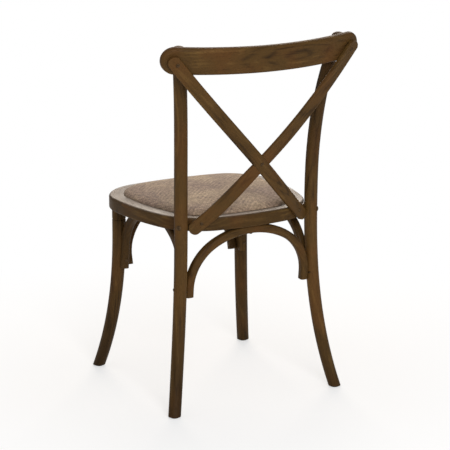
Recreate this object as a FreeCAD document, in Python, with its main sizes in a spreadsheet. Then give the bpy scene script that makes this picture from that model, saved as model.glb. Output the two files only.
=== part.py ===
"""Cross back dining chair in bent wood, with a drop-in woven seat.

The frame: +Z up, the front of the chair faces -Y, +X is the sitter's left, and the origin
lies on the floor under the middle of the chair. All sizes are in millimetres. The left
pieces are drawn and the right ones mirror them.
"""
import FreeCAD, Part
import math
import os
import Sketcher
from FreeCAD import Placement, Rotation, Vector

SIZES = {
    # Seat ring: a bent band whose outline is eight tangent arcs
    "seat_height": 462,
    "ring_depth": 32,
    "ring_front": -250.4,
    "ring_rear": 171.6,
    "ring_half_width": 222.7,
    "ring_widest": -105.4,
    "front_bow_radius": 700,
    "front_corner_radius": 125,
    "side_bow_radius": 600,
    "rear_corner_radius": 135,
    "rear_bow_radius": 600,
    "rim_width": 36.5,
    "rear_rim_width": 27,
    "ledge_width": 9,
    "rebate_depth": 9,
    "rim_round": 6,
    "rim_under_round": 3,
    "scarf_top": -77,
    "scarf_bottom": 23,
    "scarf_blunt": 1,
    # Back posts
    "back_height": 880,
    "post_kink": 460,
    "post_across": 177.5,
    "post_along": 140.6,
    "post_foot_splay": 45,
    "post_foot_rake": 46.8,
    "post_foot_splay_curl": 2.3,
    "post_foot_rake_curl": 2.8,
    "post_top_splay": 34,
    "post_top_rake": 58.5,
    "post_top_splay_curl": 2.75,
    "post_top_rake_curl": 2.25,
    "post_foot_radius": 15,
    "post_seat_radius": 16,
    "post_top_radius": 15.5,
    "post_dome": 9,
    # Front legs
    "leg_across": 174,
    "leg_along": -191.4,
    "leg_bend": 400,
    "leg_splay": 37,
    "leg_rake": 51.2,
    "leg_curl": 2.45,
    "leg_foot_radius": 15.5,
    "leg_top_radius": 17,
    "leg_line_drop": 8,
    "leg_line_radius": 2,
    "leg_line_depth": 1.2,
    "tenon_radius": 11,
    "tenon_length": 16,
    # Crest rail
    "crest_along": 243.6,
    "crest_level": 841,
    "crest_lean": 13,
    "crest_bow_radius": 760,
    "crest_thickness": 20,
    "crest_height": 64,
    "crest_half_length": 259,
    "crest_edge_round": 8,
    # Cross slats
    "slat_width": 31,
    "slat_thickness": 10,
    "slat_edge_round": 2.5,
    "slat_foot_turn": 28,
    "slat_foot_pitch": 39,
    "slat_foot_level": 451,
    "slat_foot_tip": 17,
    "cross_along": 204,
    "cross_level": 586.5,
    "cross_pitch": 44.3,
    "cross_slope": 0.28,
    "slat_top_across": 225,
    "slat_top_rise": -6,
    "slat_top_pitch": 48.7,
    "slat_top_tip": 8,
    # Bracing hoops
    "hoop_thickness": 20,
    "hoop_depth": 20,
    "hoop_edge_round": 6,
    "rear_hoop_half_span": 157.5,
    "rear_hoop_limb": 20,
    "rear_hoop_corner": 120,
    "rear_hoop_rise": 149.5,
    "rear_hoop_foot": 273,
    "rear_hoop_along": 139.6,
    "rear_hoop_tilt": 6,
    "front_hoop_half_span": 149,
    "front_hoop_limb": 20,
    "front_hoop_corner": 115,
    "front_hoop_rise": 156.5,
    "front_hoop_foot": 270,
    "front_hoop_along": -191.4,
    "front_hoop_tilt": 13.5,
    "side_hoop_half_span": 150,
    "side_hoop_limb": 50,
    "side_hoop_corner": 110,
    "side_hoop_rise": 172.5,
    "side_hoop_foot": 268,
    "side_hoop_across": 170,
    "side_hoop_middle": -24,
    "side_hoop_tilt": 3.2,
    # Spacer between the ring's rear corner and the post
    "spacer_width": 24,
    "spacer_height": 24,
    "spacer_level": 446,
    # Seat: board, padding and woven cover
    "board_thickness": 6,
    "cover_thickness": 2.4,
    "cover_hem": 455,
    "roll_width": 28,
    "roll_rise": 13,
    "crown_rise": 11,
    # Fasteners and glides
    "screw_radius": 2,
    "screw_head_radius": 3.7,
    "screw_head_height": 1.7,
    "bolt_radius": 3.2,
    "bolt_head_radius": 5.8,
    "bolt_head_height": 2.2,
    "nut_radius": 6,
    "nut_height": 5,
    "rear_hoop_screw_level": 296,
    "hoop_screw_level": 289,
    "crest_screw_across": 210,
    "crest_screw_rise": -16,
    "crest_screw_length": 30,
    "seat_screw_front_spread": 100,
    "seat_screw_rear_spread": 60,
    "glide_radius": 11,
    "glide_foot_radius": 9.5,
    "glide_height": 3,
    "glide_pin_radius": 2,
    "glide_pin_length": 12,
    "crest_screw_sink": 1,
    "nut_stand_off": 1.2,
    "bolt_tail": 2.5,
    "seat_screw_edge": 3,
    # How far screws bite, mostly as shares of the thickness they enter
    "crest_bite_share": 0.75,
    "foot_screw_share": 2.5,
    "cross_screw_short": 1,
    "hoop_bite_share": 0.8,
    "leg_bite_share": 1.2,
    "board_bite_share": 0.8,
    # Fits
    "fit_gap": 0.3,
    "lap_gap": 0.1,
}

doc = FreeCAD.newDocument("CrossBackChair")
sheet = doc.addObject("Spreadsheet::Sheet", "Sizes")
for row, (size_name, amount) in enumerate(SIZES.items(), 1):
    sheet.set(f"A{row}", size_name)
    sheet.set(f"B{row}", str(amount))
    sheet.setAlias(f"B{row}", size_name)
doc.recompute()


def value(expression):
    """The number that an expression on the sheet gives."""
    return float(sheet.evalExpression(expression))


def size(name):
    """One driving dimension."""
    return value("Sizes." + name)


def plan(angle):
    """The level unit vector at so many degrees from +X."""
    return Vector(math.cos(math.radians(angle)), math.sin(math.radians(angle)), 0)


def mirrored(point):
    """The same point or direction on the other side of the chair."""
    return Vector(-point.x, point.y, point.z)


# Small helpers that each make one object of the document

def new_body(name):
    return doc.addObject("PartDesign::Body", name)


def new_sketch(body, role, level="0"):
    """A sketch on one of the body's own origin planes, moved along the plane's normal."""
    sketch = body.newObject("Sketcher::SketchObject", body.Name + "Sketch")
    plane = next(item for item in body.Origin.OriginFeatures if item.Role == role)
    sketch.AttachmentSupport = [(plane, "")]
    sketch.MapMode = "FlatFace"
    sketch.setExpression(".AttachmentOffset.Base.z", level)
    return sketch


def drive(sketch, kind, *parts):
    """A dimension of a sketch, bound to the expression that comes last."""
    expression = parts[-1]
    constraint = Sketcher.Constraint(kind, *parts[:-1], value(expression))
    index = sketch.addConstraint(constraint)
    sketch.setExpression(f"Constraints[{index}]", expression)


def relate(sketch, kind, *parts):
    """A constraint of a sketch that has no number of its own."""
    sketch.addConstraint(Sketcher.Constraint(kind, *parts))


def pad(body, sketch, length):
    feature = body.newObject("PartDesign::Pad", body.Name + "Pad")
    feature.Profile = sketch
    feature.setExpression("Length", length)
    return feature


def loft(body, sections):
    feature = body.newObject("PartDesign::AdditiveLoft", body.Name + "Loft")
    feature.Profile = sections[0]
    feature.Sections = sections[1:]
    return feature


def edges_at(shape, level):
    """Names of the edges whose ends all lie at one level."""
    return [
        f"Edge{number}"
        for number, edge in enumerate(shape.Edges, 1)
        if all(abs(vertex.Z - level) < 0.01 for vertex in edge.Vertexes)
    ]


def dress(body, kind, property_name, edges, expression):
    """A fillet or chamfer on the body's last feature."""
    base = body.Tip
    feature = body.newObject("PartDesign::" + kind, body.Name + kind)
    feature.Base = (base, edges)
    feature.setExpression(property_name, expression)
    doc.recompute()
    return feature


def cut(name, base, *tools):
    """The base with each tool's shape taken away."""
    for tool in tools:
        feature = doc.addObject("Part::Cut", name)
        feature.Base = base
        feature.Tool = tool
        base = feature
    return base


def common(name, first, second):
    feature = doc.addObject("Part::Common", name)
    feature.Base = first
    feature.Tool = second
    return feature


def group(name, members):
    feature = doc.addObject("Part::Compound", name)
    feature.Links = members
    return feature


def mirror(name, source):
    """The piece on the sitter's right, from the one on the left."""
    feature = doc.addObject("Part::Mirroring", name)
    feature.Source = source
    feature.Base = Vector(0, 0, 0)
    feature.Normal = Vector(1, 0, 0)
    return feature


def block(name, length, width, height, placement):
    """A box centred on its placement in length and width, and standing on it."""
    feature = doc.addObject("Part::Box", name)
    feature.Length = length
    feature.Width = width
    feature.Height = height
    feature.Placement = placement.multiply(Placement(Vector(-length / 2, -width / 2, 0), Rotation()))
    return feature


def rod(name, radius, length, foot, direction):
    """A cylinder from its foot along a direction, with radius and length as expressions."""
    feature = doc.addObject("Part::Cylinder", name)
    feature.setExpression("Radius", radius)
    feature.setExpression("Height", length)
    feature.Placement = Placement(foot, Rotation(Vector(0, 0, 1), direction))
    return feature


# Bent legs and posts

def bent_leg(name, stations, grow):
    """A round leg lofted through level circles, each given as (across, along, level, radius)."""
    body = new_body(name)
    sections = []
    for across, along, level, radius in stations:
        section = new_sketch(body, "XY_Plane", level)
        section.setExpression(".AttachmentOffset.Base.x", across)
        section.setExpression(".AttachmentOffset.Base.y", along)
        section.addGeometry(Part.Circle(Vector(0, 0, 0), Vector(0, 0, 1), value(radius)))
        relate(section, "Coincident", 0, 3, -1, 1)
        drive(section, "Radius", 0, f"{radius} + {grow}")
        sections.append(section)
    loft(body, sections)
    doc.recompute()
    return body


LOWER_STEPS = 6
UPPER_STEPS = 5
POST_SHOULDER = "Sizes.back_height - Sizes.post_dome"


def post_stations():
    """The post curls outward and back below the seat, and again above it."""
    stations = []
    for step in range(LOWER_STEPS):
        rest = f"(1 - {step} / {LOWER_STEPS})"
        stations.append((
            f"Sizes.post_across + Sizes.post_foot_splay * {rest}^Sizes.post_foot_splay_curl",
            f"Sizes.post_along + Sizes.post_foot_rake * {rest}^Sizes.post_foot_rake_curl",
            f"Sizes.post_kink - (Sizes.post_kink - Sizes.glide_height) * {rest}",
            f"Sizes.post_seat_radius + (Sizes.post_foot_radius - Sizes.post_seat_radius) * {rest}",
        ))
    for step in range(UPPER_STEPS + 1):
        rise = f"({step} / {UPPER_STEPS})"
        stations.append((
            f"Sizes.post_across + Sizes.post_top_splay * {rise}^Sizes.post_top_splay_curl",
            f"Sizes.post_along + Sizes.post_top_rake * {rise}^Sizes.post_top_rake_curl",
            f"Sizes.post_kink + ({POST_SHOULDER} - Sizes.post_kink) * {rise}",
            f"Sizes.post_seat_radius + (Sizes.post_top_radius - Sizes.post_seat_radius) * {rise}",
        ))
    return stations


def leg_stations():
    """The front leg curls outward and forward to its foot and stands straight under the ring."""
    stations = []
    for step in range(LOWER_STEPS + 1):
        rest = f"(1 - {step} / {LOWER_STEPS})"
        stations.append((
            f"Sizes.leg_across + Sizes.leg_splay * {rest}^Sizes.leg_curl",
            f"Sizes.leg_along - Sizes.leg_rake * {rest}^Sizes.leg_curl",
            f"Sizes.leg_bend - (Sizes.leg_bend - Sizes.glide_height) * {rest}",
            f"Sizes.leg_top_radius + (Sizes.leg_foot_radius - Sizes.leg_top_radius) * {rest}",
        ))
    stations.append((
        "Sizes.leg_across",
        "Sizes.leg_along",
        "Sizes.seat_height - Sizes.ring_depth",
        "Sizes.leg_top_radius",
    ))
    return stations


def post_blank():
    """The left post with its domed head."""
    body = bent_leg("PostBlank", post_stations(), "0")
    across = value("Sizes.post_across + Sizes.post_top_splay")
    along = value("Sizes.post_along + Sizes.post_top_rake")
    dome = doc.addObject("Part::Ellipsoid", "PostDome")
    dome.setExpression("Radius1", "Sizes.post_dome")
    dome.setExpression("Radius2", "Sizes.post_top_radius")
    dome.setExpression("Radius3", "Sizes.post_top_radius")
    dome.Angle1 = 0
    dome.Placement = Placement(Vector(across, along, value(POST_SHOULDER)), Rotation())
    whole = doc.addObject("Part::Fuse", "PostWithDome")
    whole.Base = body
    whole.Tool = dome
    return whole


def leg_blank():
    """The left front leg with a turned line under the ring and a tenon into it."""
    body = bent_leg("LegBlank", leg_stations(), "0")
    underside = Vector(size("leg_across"), size("leg_along"), size("seat_height") - size("ring_depth"))
    tenon = rod("Tenon", "Sizes.tenon_radius", "Sizes.tenon_length", underside, Vector(0, 0, 1))
    whole = doc.addObject("Part::Fuse", "LegWithTenon")
    whole.Base = body
    whole.Tool = tenon
    line = doc.addObject("Part::Torus", "TurnedLine")
    line.setExpression("Radius1", "Sizes.leg_top_radius + Sizes.leg_line_radius - Sizes.leg_line_depth")
    line.setExpression("Radius2", "Sizes.leg_line_radius")
    line.Placement = Placement(underside - Vector(0, 0, size("leg_line_drop")), Rotation())
    return cut("LegTurned", whole, line)


# Seat ring

FRONT_CENTRE = "(Sizes.ring_front + Sizes.front_bow_radius)"
REAR_CENTRE = "(Sizes.ring_rear - Sizes.rear_bow_radius)"
SIDE_CENTRE = "(Sizes.ring_half_width - Sizes.side_bow_radius)"
SEAT_MIDDLE = "((Sizes.ring_front + Sizes.ring_rear) / 2)"


def corner_centre(first, first_reach, second, second_reach):
    """Where a corner arc is centred, on the +X side, given its reach from each bow's centre."""
    apart = (second - first).Length
    along = (first_reach ** 2 - second_reach ** 2 + apart ** 2) / (2 * apart)
    aside = math.sqrt(first_reach ** 2 - along ** 2)
    axis = (second - first).normalize()
    across = Vector(axis.y, -axis.x, 0)
    ends = [first + axis * along + across * aside * sign for sign in (1, -1)]
    return max(ends, key=lambda point: point.x)


def outline_sketch(body, level, inset, rear_inset, scale=1):
    """The ring's outline of eight tangent arcs, moved inward, or scaled about the middle of the seat."""
    sketch = new_sketch(body, "XY_Plane", level)
    radii = [
        f"(Sizes.front_bow_radius - ({inset})) * {scale}",
        f"(Sizes.front_corner_radius - ({inset})) * {scale}",
        f"(Sizes.side_bow_radius - ({inset})) * {scale}",
        f"(Sizes.rear_corner_radius - ({inset})) * {scale}",
        f"(Sizes.rear_bow_radius - ({rear_inset})) * {scale}",
    ]
    front_y = f"{SEAT_MIDDLE} + ({FRONT_CENTRE} - {SEAT_MIDDLE}) * {scale}"
    rear_y = f"{SEAT_MIDDLE} + ({REAR_CENTRE} - {SEAT_MIDDLE}) * {scale}"
    side_y = f"{SEAT_MIDDLE} + (Sizes.ring_widest - {SEAT_MIDDLE}) * {scale}"
    side_x = f"{SIDE_CENTRE} * {scale}"
    bow, corner, side, back_corner, back_bow = [value(radius) for radius in radii]
    front = Vector(0, value(front_y), 0)
    rear = Vector(0, value(rear_y), 0)
    flank = Vector(value(side_x), value(side_y), 0)
    front_corner = corner_centre(front, bow - corner, flank, side - corner)
    rear_corner = corner_centre(rear, back_bow - back_corner, flank, side - back_corner)

    def angle(start, end):
        return math.atan2(end.y - start.y, end.x - start.x)

    turns = [
        angle(front, front_corner),
        angle(flank, front_corner),
        angle(flank, rear_corner),
        angle(rear, rear_corner),
    ]
    left_centres = [front_corner, flank, rear_corner]
    right_centres = [mirrored(centre) for centre in reversed(left_centres)]
    centres = [front, *left_centres, rear, *right_centres]
    stops = [-math.pi - turns[0], *turns, *[math.pi - turn for turn in reversed(turns)]]
    order = [0, 1, 2, 3, 4, 3, 2, 1]
    for index, centre in enumerate(centres):
        circle = Part.Circle(centre, Vector(0, 0, 1), value(radii[order[index]]))
        sketch.addGeometry(Part.ArcOfCircle(circle, stops[index], stops[index + 1]))
    for index in range(8):
        relate(sketch, "Tangent", index, 2, (index + 1) % 8, 1)
    relate(sketch, "PointOnObject", 0, 3, -2)
    relate(sketch, "PointOnObject", 4, 3, -2)
    for index in range(8):
        drive(sketch, "Radius", index, radii[order[index]])
    drive(sketch, "DistanceY", -1, 1, 0, 3, front_y)
    drive(sketch, "DistanceY", -1, 1, 4, 3, rear_y)
    drive(sketch, "DistanceX", -1, 1, 2, 3, side_x)
    drive(sketch, "DistanceY", -1, 1, 2, 3, side_y)
    drive(sketch, "DistanceX", -1, 1, 6, 3, f"-({side_x})")
    drive(sketch, "DistanceY", -1, 1, 6, 3, side_y)
    return sketch


def ring_corner(inset=0, rear_inset=0):
    """The centre of the left rear corner arc in plan, for the outline moved inward so far."""
    rear = Vector(0, value(REAR_CENTRE), 0)
    flank = Vector(value(SIDE_CENTRE), size("ring_widest"), 0)
    corner = size("rear_corner_radius") - inset
    rear_reach = size("rear_bow_radius") - rear_inset - corner
    return corner_centre(rear, rear_reach, flank, size("side_bow_radius") - inset - corner)


RING_BOTTOM = "Sizes.seat_height - Sizes.ring_depth"
LEDGE = "Sizes.seat_height - Sizes.rebate_depth"


def ring_blank():
    """The bent band with its rounded edges, the seat's rebate and the opening inside the ledge."""
    body = new_body("RingBlank")
    pad(body, outline_sketch(body, RING_BOTTOM, "0", "0"), "Sizes.ring_depth")
    doc.recompute()
    dress(body, "Fillet", "Radius", edges_at(body.Shape, size("seat_height")), "Sizes.rim_round")
    dress(body, "Fillet", "Radius", edges_at(body.Shape, value(RING_BOTTOM)), "Sizes.rim_under_round")
    rebate = body.newObject("PartDesign::Pocket", "Rebate")
    rebate.Profile = outline_sketch(body, "Sizes.seat_height", "Sizes.rim_width", "Sizes.rear_rim_width")
    rebate.setExpression("Length", "Sizes.rebate_depth")
    opening = body.newObject("PartDesign::Pocket", "Opening")
    inner = "Sizes.rim_width + Sizes.ledge_width"
    rear_inner = "Sizes.rear_rim_width + Sizes.ledge_width"
    opening.Profile = outline_sketch(body, "Sizes.seat_height", inner, rear_inner)
    opening.Type = "ThroughAll"
    doc.recompute()
    return body


def scarf_block():
    """Everything in front of the long slanted joint, blunt at both tips, that splits the ring in two."""
    body = new_body("ScarfBlock")
    sketch = new_sketch(body, "YZ_Plane")
    above = value("Sizes.seat_height + Sizes.ring_depth")
    below = value("Sizes.seat_height - 2 * Sizes.ring_depth")
    high_tip = value("Sizes.seat_height - Sizes.rim_round - Sizes.scarf_blunt")
    low_tip = value(f"{RING_BOTTOM} + Sizes.rim_under_round + Sizes.scarf_blunt")
    far = value("2 * Sizes.ring_front")
    top = size("scarf_top")
    bottom = size("scarf_bottom")
    corners = [
        Vector(far, below, 0),
        Vector(bottom, below, 0),
        Vector(bottom, low_tip, 0),
        Vector(top, high_tip, 0),
        Vector(top, above, 0),
        Vector(far, above, 0),
    ]
    count = len(corners)
    for index, corner in enumerate(corners):
        sketch.addGeometry(Part.LineSegment(corner, corners[(index + 1) % count]))
    for index in range(count):
        relate(sketch, "Coincident", index, 2, (index + 1) % count, 1)
        relate(sketch, "Block", index)
    feature = pad(body, sketch, "4 * Sizes.ring_half_width")
    feature.SideType = "Symmetric"
    doc.recompute()
    return body


# Crest rail

def crest_frame():
    """The crest leans back about its own middle."""
    lean = Rotation(Vector(1, 0, 0), -size("crest_lean"))
    return Placement(Vector(0, size("crest_along"), size("crest_level")), lean)


def crest_point(across, rise, depth):
    """A point so far behind the middle of the crest's thickness, with the face's normal there."""
    turn = math.asin(across / size("crest_bow_radius"))
    normal = Vector(math.sin(turn), math.cos(turn), 0)
    centre = Vector(0, -size("crest_bow_radius"), 0)
    point = centre + normal * (size("crest_bow_radius") + depth) + Vector(0, 0, rise)
    frame = crest_frame()
    return frame.multVec(point), frame.Rotation.multVec(normal)


def crest_blank(name, grow):
    """A curved board with half-round ends: a slice of a wide tube inside a long slot outline."""
    outline = new_body(name + "Outline")
    outline.Placement = crest_frame()
    sketch = new_sketch(outline, "XZ_Plane")
    radius = value(f"Sizes.crest_height / 2 + {grow}")
    middle = value("Sizes.crest_half_length - Sizes.crest_height / 2")
    sketch.addGeometry(Part.LineSegment(Vector(-middle, -radius, 0), Vector(middle, -radius, 0)))
    end = Part.Circle(Vector(middle, 0, 0), Vector(0, 0, 1), radius)
    sketch.addGeometry(Part.ArcOfCircle(end, -math.pi / 2, math.pi / 2))
    sketch.addGeometry(Part.LineSegment(Vector(middle, radius, 0), Vector(-middle, radius, 0)))
    end = Part.Circle(Vector(-middle, 0, 0), Vector(0, 0, 1), radius)
    sketch.addGeometry(Part.ArcOfCircle(end, math.pi / 2, 3 * math.pi / 2))
    for index in range(4):
        relate(sketch, "Tangent", index, 2, (index + 1) % 4, 1)
    relate(sketch, "Horizontal", 0)
    relate(sketch, "PointOnObject", 1, 3, -1)
    drive(sketch, "Radius", 1, f"Sizes.crest_height / 2 + {grow}")
    drive(sketch, "DistanceX", -1, 1, 1, 3, "Sizes.crest_half_length - Sizes.crest_height / 2")
    drive(sketch, "DistanceX", 3, 3, -1, 1, "Sizes.crest_half_length - Sizes.crest_height / 2")
    board = pad(outline, sketch, "Sizes.crest_half_length")
    board.SideType = "Symmetric"
    foot = crest_frame().multVec(Vector(0, -size("crest_bow_radius"), -size("crest_height")))
    upward = crest_frame().Rotation.multVec(Vector(0, 0, 1))
    half = "Sizes.crest_thickness / 2"
    outer_radius = f"Sizes.crest_bow_radius + {half} + {grow}"
    inner_radius = f"Sizes.crest_bow_radius - {half} - {grow}"
    outer = rod(name + "Outer", outer_radius, "2 * Sizes.crest_height", foot, upward)
    inner = rod(name + "Inner", inner_radius, "2 * Sizes.crest_height", foot, upward)
    rail = common(name + "Board", cut(name + "Bow", outer, inner), outline)
    doc.recompute()
    soft = doc.addObject("Part::Fillet", name)
    soft.Base = rail
    radius = size("crest_edge_round")
    curved = [
        number for number, edge in enumerate(rail.Shape.Edges, 1)
        if edge.Curve.TypeId != "Part::GeomLine"
    ]
    soft.Edges = [(number, radius, radius) for number in curved]
    doc.recompute()
    return soft


# Cross slats

class SlatPath:
    """The middle line of the slat that runs from the ring on the right to the crest on the left."""

    def __init__(self):
        turn = size("slat_foot_turn")
        self.foot_normal = Vector(-math.sin(math.radians(turn)), math.cos(math.radians(turn)), 0)
        reach = value("Sizes.rear_corner_radius + Sizes.fit_gap + Sizes.slat_thickness / 2")
        self.foot = mirrored(ring_corner()) + self.foot_normal * reach
        self.foot.z = size("slat_foot_level")
        pitch = math.radians(size("slat_foot_pitch"))
        self.foot_way = plan(turn) * math.cos(pitch) + Vector(0, 0, math.sin(pitch))
        self.cross = Vector(0, size("cross_along"), size("cross_level"))
        pitch = math.radians(size("cross_pitch"))
        rise = math.cos(pitch)
        self.cross_way = Vector(math.sin(pitch), size("cross_slope") * rise, rise).normalize()
        self.cross_normal = Vector(0, 1, -size("cross_slope")).normalize()
        depth = value("Sizes.crest_thickness / 2 + Sizes.fit_gap + Sizes.slat_thickness / 2")
        self.top, self.top_normal = crest_point(size("slat_top_across"), size("slat_top_rise"), depth)
        pitch = math.radians(size("slat_top_pitch"))
        upward = crest_frame().Rotation.multVec(Vector(0, 0, 1))
        level = upward.cross(self.top_normal) * -1
        self.top_way = level * math.cos(pitch) + upward * math.sin(pitch)

    def span(self, start, leave, finish, arrive, part):
        """A cubic between two points that leaves and arrives along the given ways."""
        reach = (finish - start).Length
        rest = 1 - part
        point = start * (rest * rest * (1 + 2 * part)) + finish * (part * part * (3 - 2 * part))
        point = point + leave * (reach * part * rest * rest) - arrive * (reach * part * part * rest)
        slope = (finish - start) * (6 * part * rest) + leave * (reach * rest * (1 - 3 * part))
        slope = slope + arrive * (reach * part * (3 * part - 2))
        return point, slope.normalize()

    def station(self, part):
        """Point, way and normal: 0 is the foot screw, 1 the crossing and 2 the top screw."""
        if part <= 1:
            point, way = self.span(self.foot, self.foot_way, self.cross, self.cross_way, part)
            normal = self.foot_normal * (1 - part) + self.cross_normal * part
        else:
            point, way = self.span(self.cross, self.cross_way, self.top, self.top_way, part - 1)
            normal = self.cross_normal * (2 - part) + self.top_normal * (part - 1)
        normal = (normal - way * normal.dot(way)).normalize()
        return point, way, normal


def slat_section(point, way, normal, width, thickness):
    """A rectangle with rounded corners across the slat."""
    across = way.cross(normal).normalize()
    round_off = size("slat_edge_round")
    half_width = width / 2
    half_thickness = thickness / 2
    corners = [(1, 1), (-1, 1), (-1, -1), (1, -1)]
    edges = []
    ends = []
    for right, up in corners:
        corner = point + across * (right * half_width) + normal * (up * half_thickness)
        beside = corner - across * (right * round_off)
        below = corner - normal * (up * round_off)
        middle = corner - across * (right * round_off) - normal * (up * round_off)
        bulge = middle + (across * right + normal * up) * (round_off / math.sqrt(2))
        first, last = (below, beside) if right * up > 0 else (beside, below)
        edges.append(Part.Arc(first, bulge, last).toShape())
        ends.append((first, last))
    wire = []
    for index in range(4):
        wire.append(edges[index])
        wire.append(Part.LineSegment(ends[index][1], ends[(index + 1) % 4][0]).toShape())
    return Part.Wire(wire)


SLAT_STEPS = 5


def slat_blank(name, path, grow):
    """The bent strip with half-round ends, lofted across its path."""
    width = size("slat_width") + 2 * grow
    thickness = size("slat_thickness") + 2 * grow
    point, way, normal = path.station(0)
    below = size("slat_foot_tip") + width / 2
    sections = [slat_section(point - way * below, way, normal, width, thickness)]
    for step in range(2 * SLAT_STEPS + 1):
        point, way, normal = path.station(step / SLAT_STEPS)
        sections.append(slat_section(point, way, normal, width, thickness))
    above = size("slat_top_tip") + width / 2
    sections.append(slat_section(point + way * above, way, normal, width, thickness))
    strip = Part.makeLoft(sections, True)
    for part, sign, tip in ((0, -1, size("slat_foot_tip")), (2, 1, size("slat_top_tip"))):
        point, way, normal = path.station(part)
        centre = point + way * (sign * tip)
        waste = Part.makeBox(2 * width, 4 * thickness, width)
        waste.translate(Vector(-width, -2 * thickness, 0))
        turn = Rotation(way.cross(normal) * sign, normal, way * sign, "ZYX")
        waste.Placement = Placement(centre, turn).multiply(waste.Placement)
        end = Part.makeCylinder(width / 2, 6 * thickness, centre - normal * (3 * thickness), normal)
        strip = strip.cut(waste.cut(end))
    feature = doc.addObject("Part::Feature", name)
    feature.Shape = strip
    return feature


# Bracing hoops

def hoop(name, which, placement, grow="0"):
    """A three-centred arch of rounded section: straight limbs, corner arcs and a crown."""
    body = new_body(name)
    path = new_sketch(body, "XZ_Plane")
    half = f"Sizes.{which}_half_span"
    limb = f"Sizes.{which}_limb"
    corner = f"Sizes.{which}_corner"
    rise = f"(Sizes.{which}_rise - {limb})"
    crown = f"({half}^2 - 2 * {half} * {corner} + {rise}^2) / (2 * ({rise} - {corner}))"
    reach = value(half)
    start = value(limb)
    small = value(corner)
    large = value(crown)
    centre = Vector(0, start + value(rise) - large, 0)
    shoulder = Vector(reach - small, start, 0)
    turn = math.atan2(shoulder.y - centre.y, shoulder.x)
    path.addGeometry(Part.LineSegment(Vector(reach, 0, 0), Vector(reach, start, 0)))
    arcs = [
        (shoulder, small, 0, turn),
        (centre, large, turn, math.pi - turn),
        (mirrored(shoulder), small, math.pi - turn, math.pi),
    ]
    for middle, radius, first, last in arcs:
        circle = Part.Circle(middle, Vector(0, 0, 1), radius)
        path.addGeometry(Part.ArcOfCircle(circle, first, last))
    path.addGeometry(Part.LineSegment(Vector(-reach, start, 0), Vector(-reach, 0, 0)))
    for index in range(4):
        relate(path, "Tangent", index, 2, index + 1, 1)
    relate(path, "Vertical", 0)
    relate(path, "Vertical", 4)
    relate(path, "PointOnObject", 0, 1, -1)
    relate(path, "PointOnObject", 4, 2, -1)
    relate(path, "PointOnObject", 2, 3, -2)
    relate(path, "Equal", 0, 4)
    drive(path, "DistanceX", -1, 1, 0, 1, half)
    drive(path, "DistanceY", 0, limb)
    drive(path, "Radius", 1, corner)
    drive(path, "Radius", 3, corner)
    drive(path, "Radius", 2, crown)
    section = new_sketch(body, "XY_Plane")
    section.setExpression(".AttachmentOffset.Base.x", half)
    rounded_rectangle(section, f"Sizes.hoop_thickness + 2 * {grow}", f"Sizes.hoop_depth + 2 * {grow}")
    sweep = body.newObject("PartDesign::AdditivePipe", name + "Sweep")
    sweep.Profile = section
    sweep.Spine = (path, [f"Edge{number}" for number in range(1, 6)])
    body.Placement = placement
    doc.recompute()
    return body


def rounded_rectangle(sketch, width, depth):
    """Four lines and four quarter arcs about the sketch's origin."""
    half_width = value(width) / 2
    half_depth = value(depth) / 2
    corner = size("hoop_edge_round")
    near_x = half_width - corner
    near_y = half_depth - corner
    signs = [(1, 1), (-1, 1), (-1, -1), (1, -1)]
    for index, (right, up) in enumerate(signs):
        circle = Part.Circle(Vector(right * near_x, up * near_y, 0), Vector(0, 0, 1), corner)
        start = index * math.pi / 2
        sketch.addGeometry(Part.ArcOfCircle(circle, start, start + math.pi / 2))
        following = signs[(index + 1) % 4]
        if index % 2 == 0:
            first = Vector(right * near_x, up * half_depth, 0)
            last = Vector(following[0] * near_x, up * half_depth, 0)
        else:
            first = Vector(right * half_width, up * near_y, 0)
            last = Vector(right * half_width, following[1] * near_y, 0)
        sketch.addGeometry(Part.LineSegment(first, last))
    for index in range(8):
        relate(sketch, "Tangent", index, 2, (index + 1) % 8, 1)
    relate(sketch, "Horizontal", 1)
    relate(sketch, "Vertical", 3)
    relate(sketch, "Symmetric", 0, 3, 4, 3, -1, 1)
    for index in (0, 2, 4, 6):
        drive(sketch, "Radius", index, "Sizes.hoop_edge_round")
    drive(sketch, "DistanceX", 2, 3, 0, 3, f"{width} - 2 * Sizes.hoop_edge_round")
    drive(sketch, "DistanceY", 6, 3, 0, 3, f"{depth} - 2 * Sizes.hoop_edge_round")


def rear_hoop_frame():
    tilt = Rotation(Vector(1, 0, 0), -size("rear_hoop_tilt"))
    return Placement(Vector(0, size("rear_hoop_along"), size("rear_hoop_foot")), tilt)


def front_hoop_frame():
    tilt = Rotation(Vector(1, 0, 0), size("front_hoop_tilt"))
    return Placement(Vector(0, size("front_hoop_along"), size("front_hoop_foot")), tilt)


def side_hoop_frame():
    """The left hoop stands along the chair, and its crown leans in under the seat."""
    tilt = Rotation(Vector(0, 1, 0), -size("side_hoop_tilt")).multiply(Rotation(Vector(0, 0, 1), 90))
    foot = Vector(size("side_hoop_across"), size("side_hoop_middle"), size("side_hoop_foot"))
    return Placement(foot, tilt)


# Seat

COVER_EDGE = "Sizes.rim_width + Sizes.fit_gap"
REAR_COVER_EDGE = "Sizes.rear_rim_width + Sizes.fit_gap"
ROLL_TURNS = (0, 18, 36, 54, 72)
CROWN_SCALES = (0.9, 0.7, 0.45, 0.2)


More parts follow.
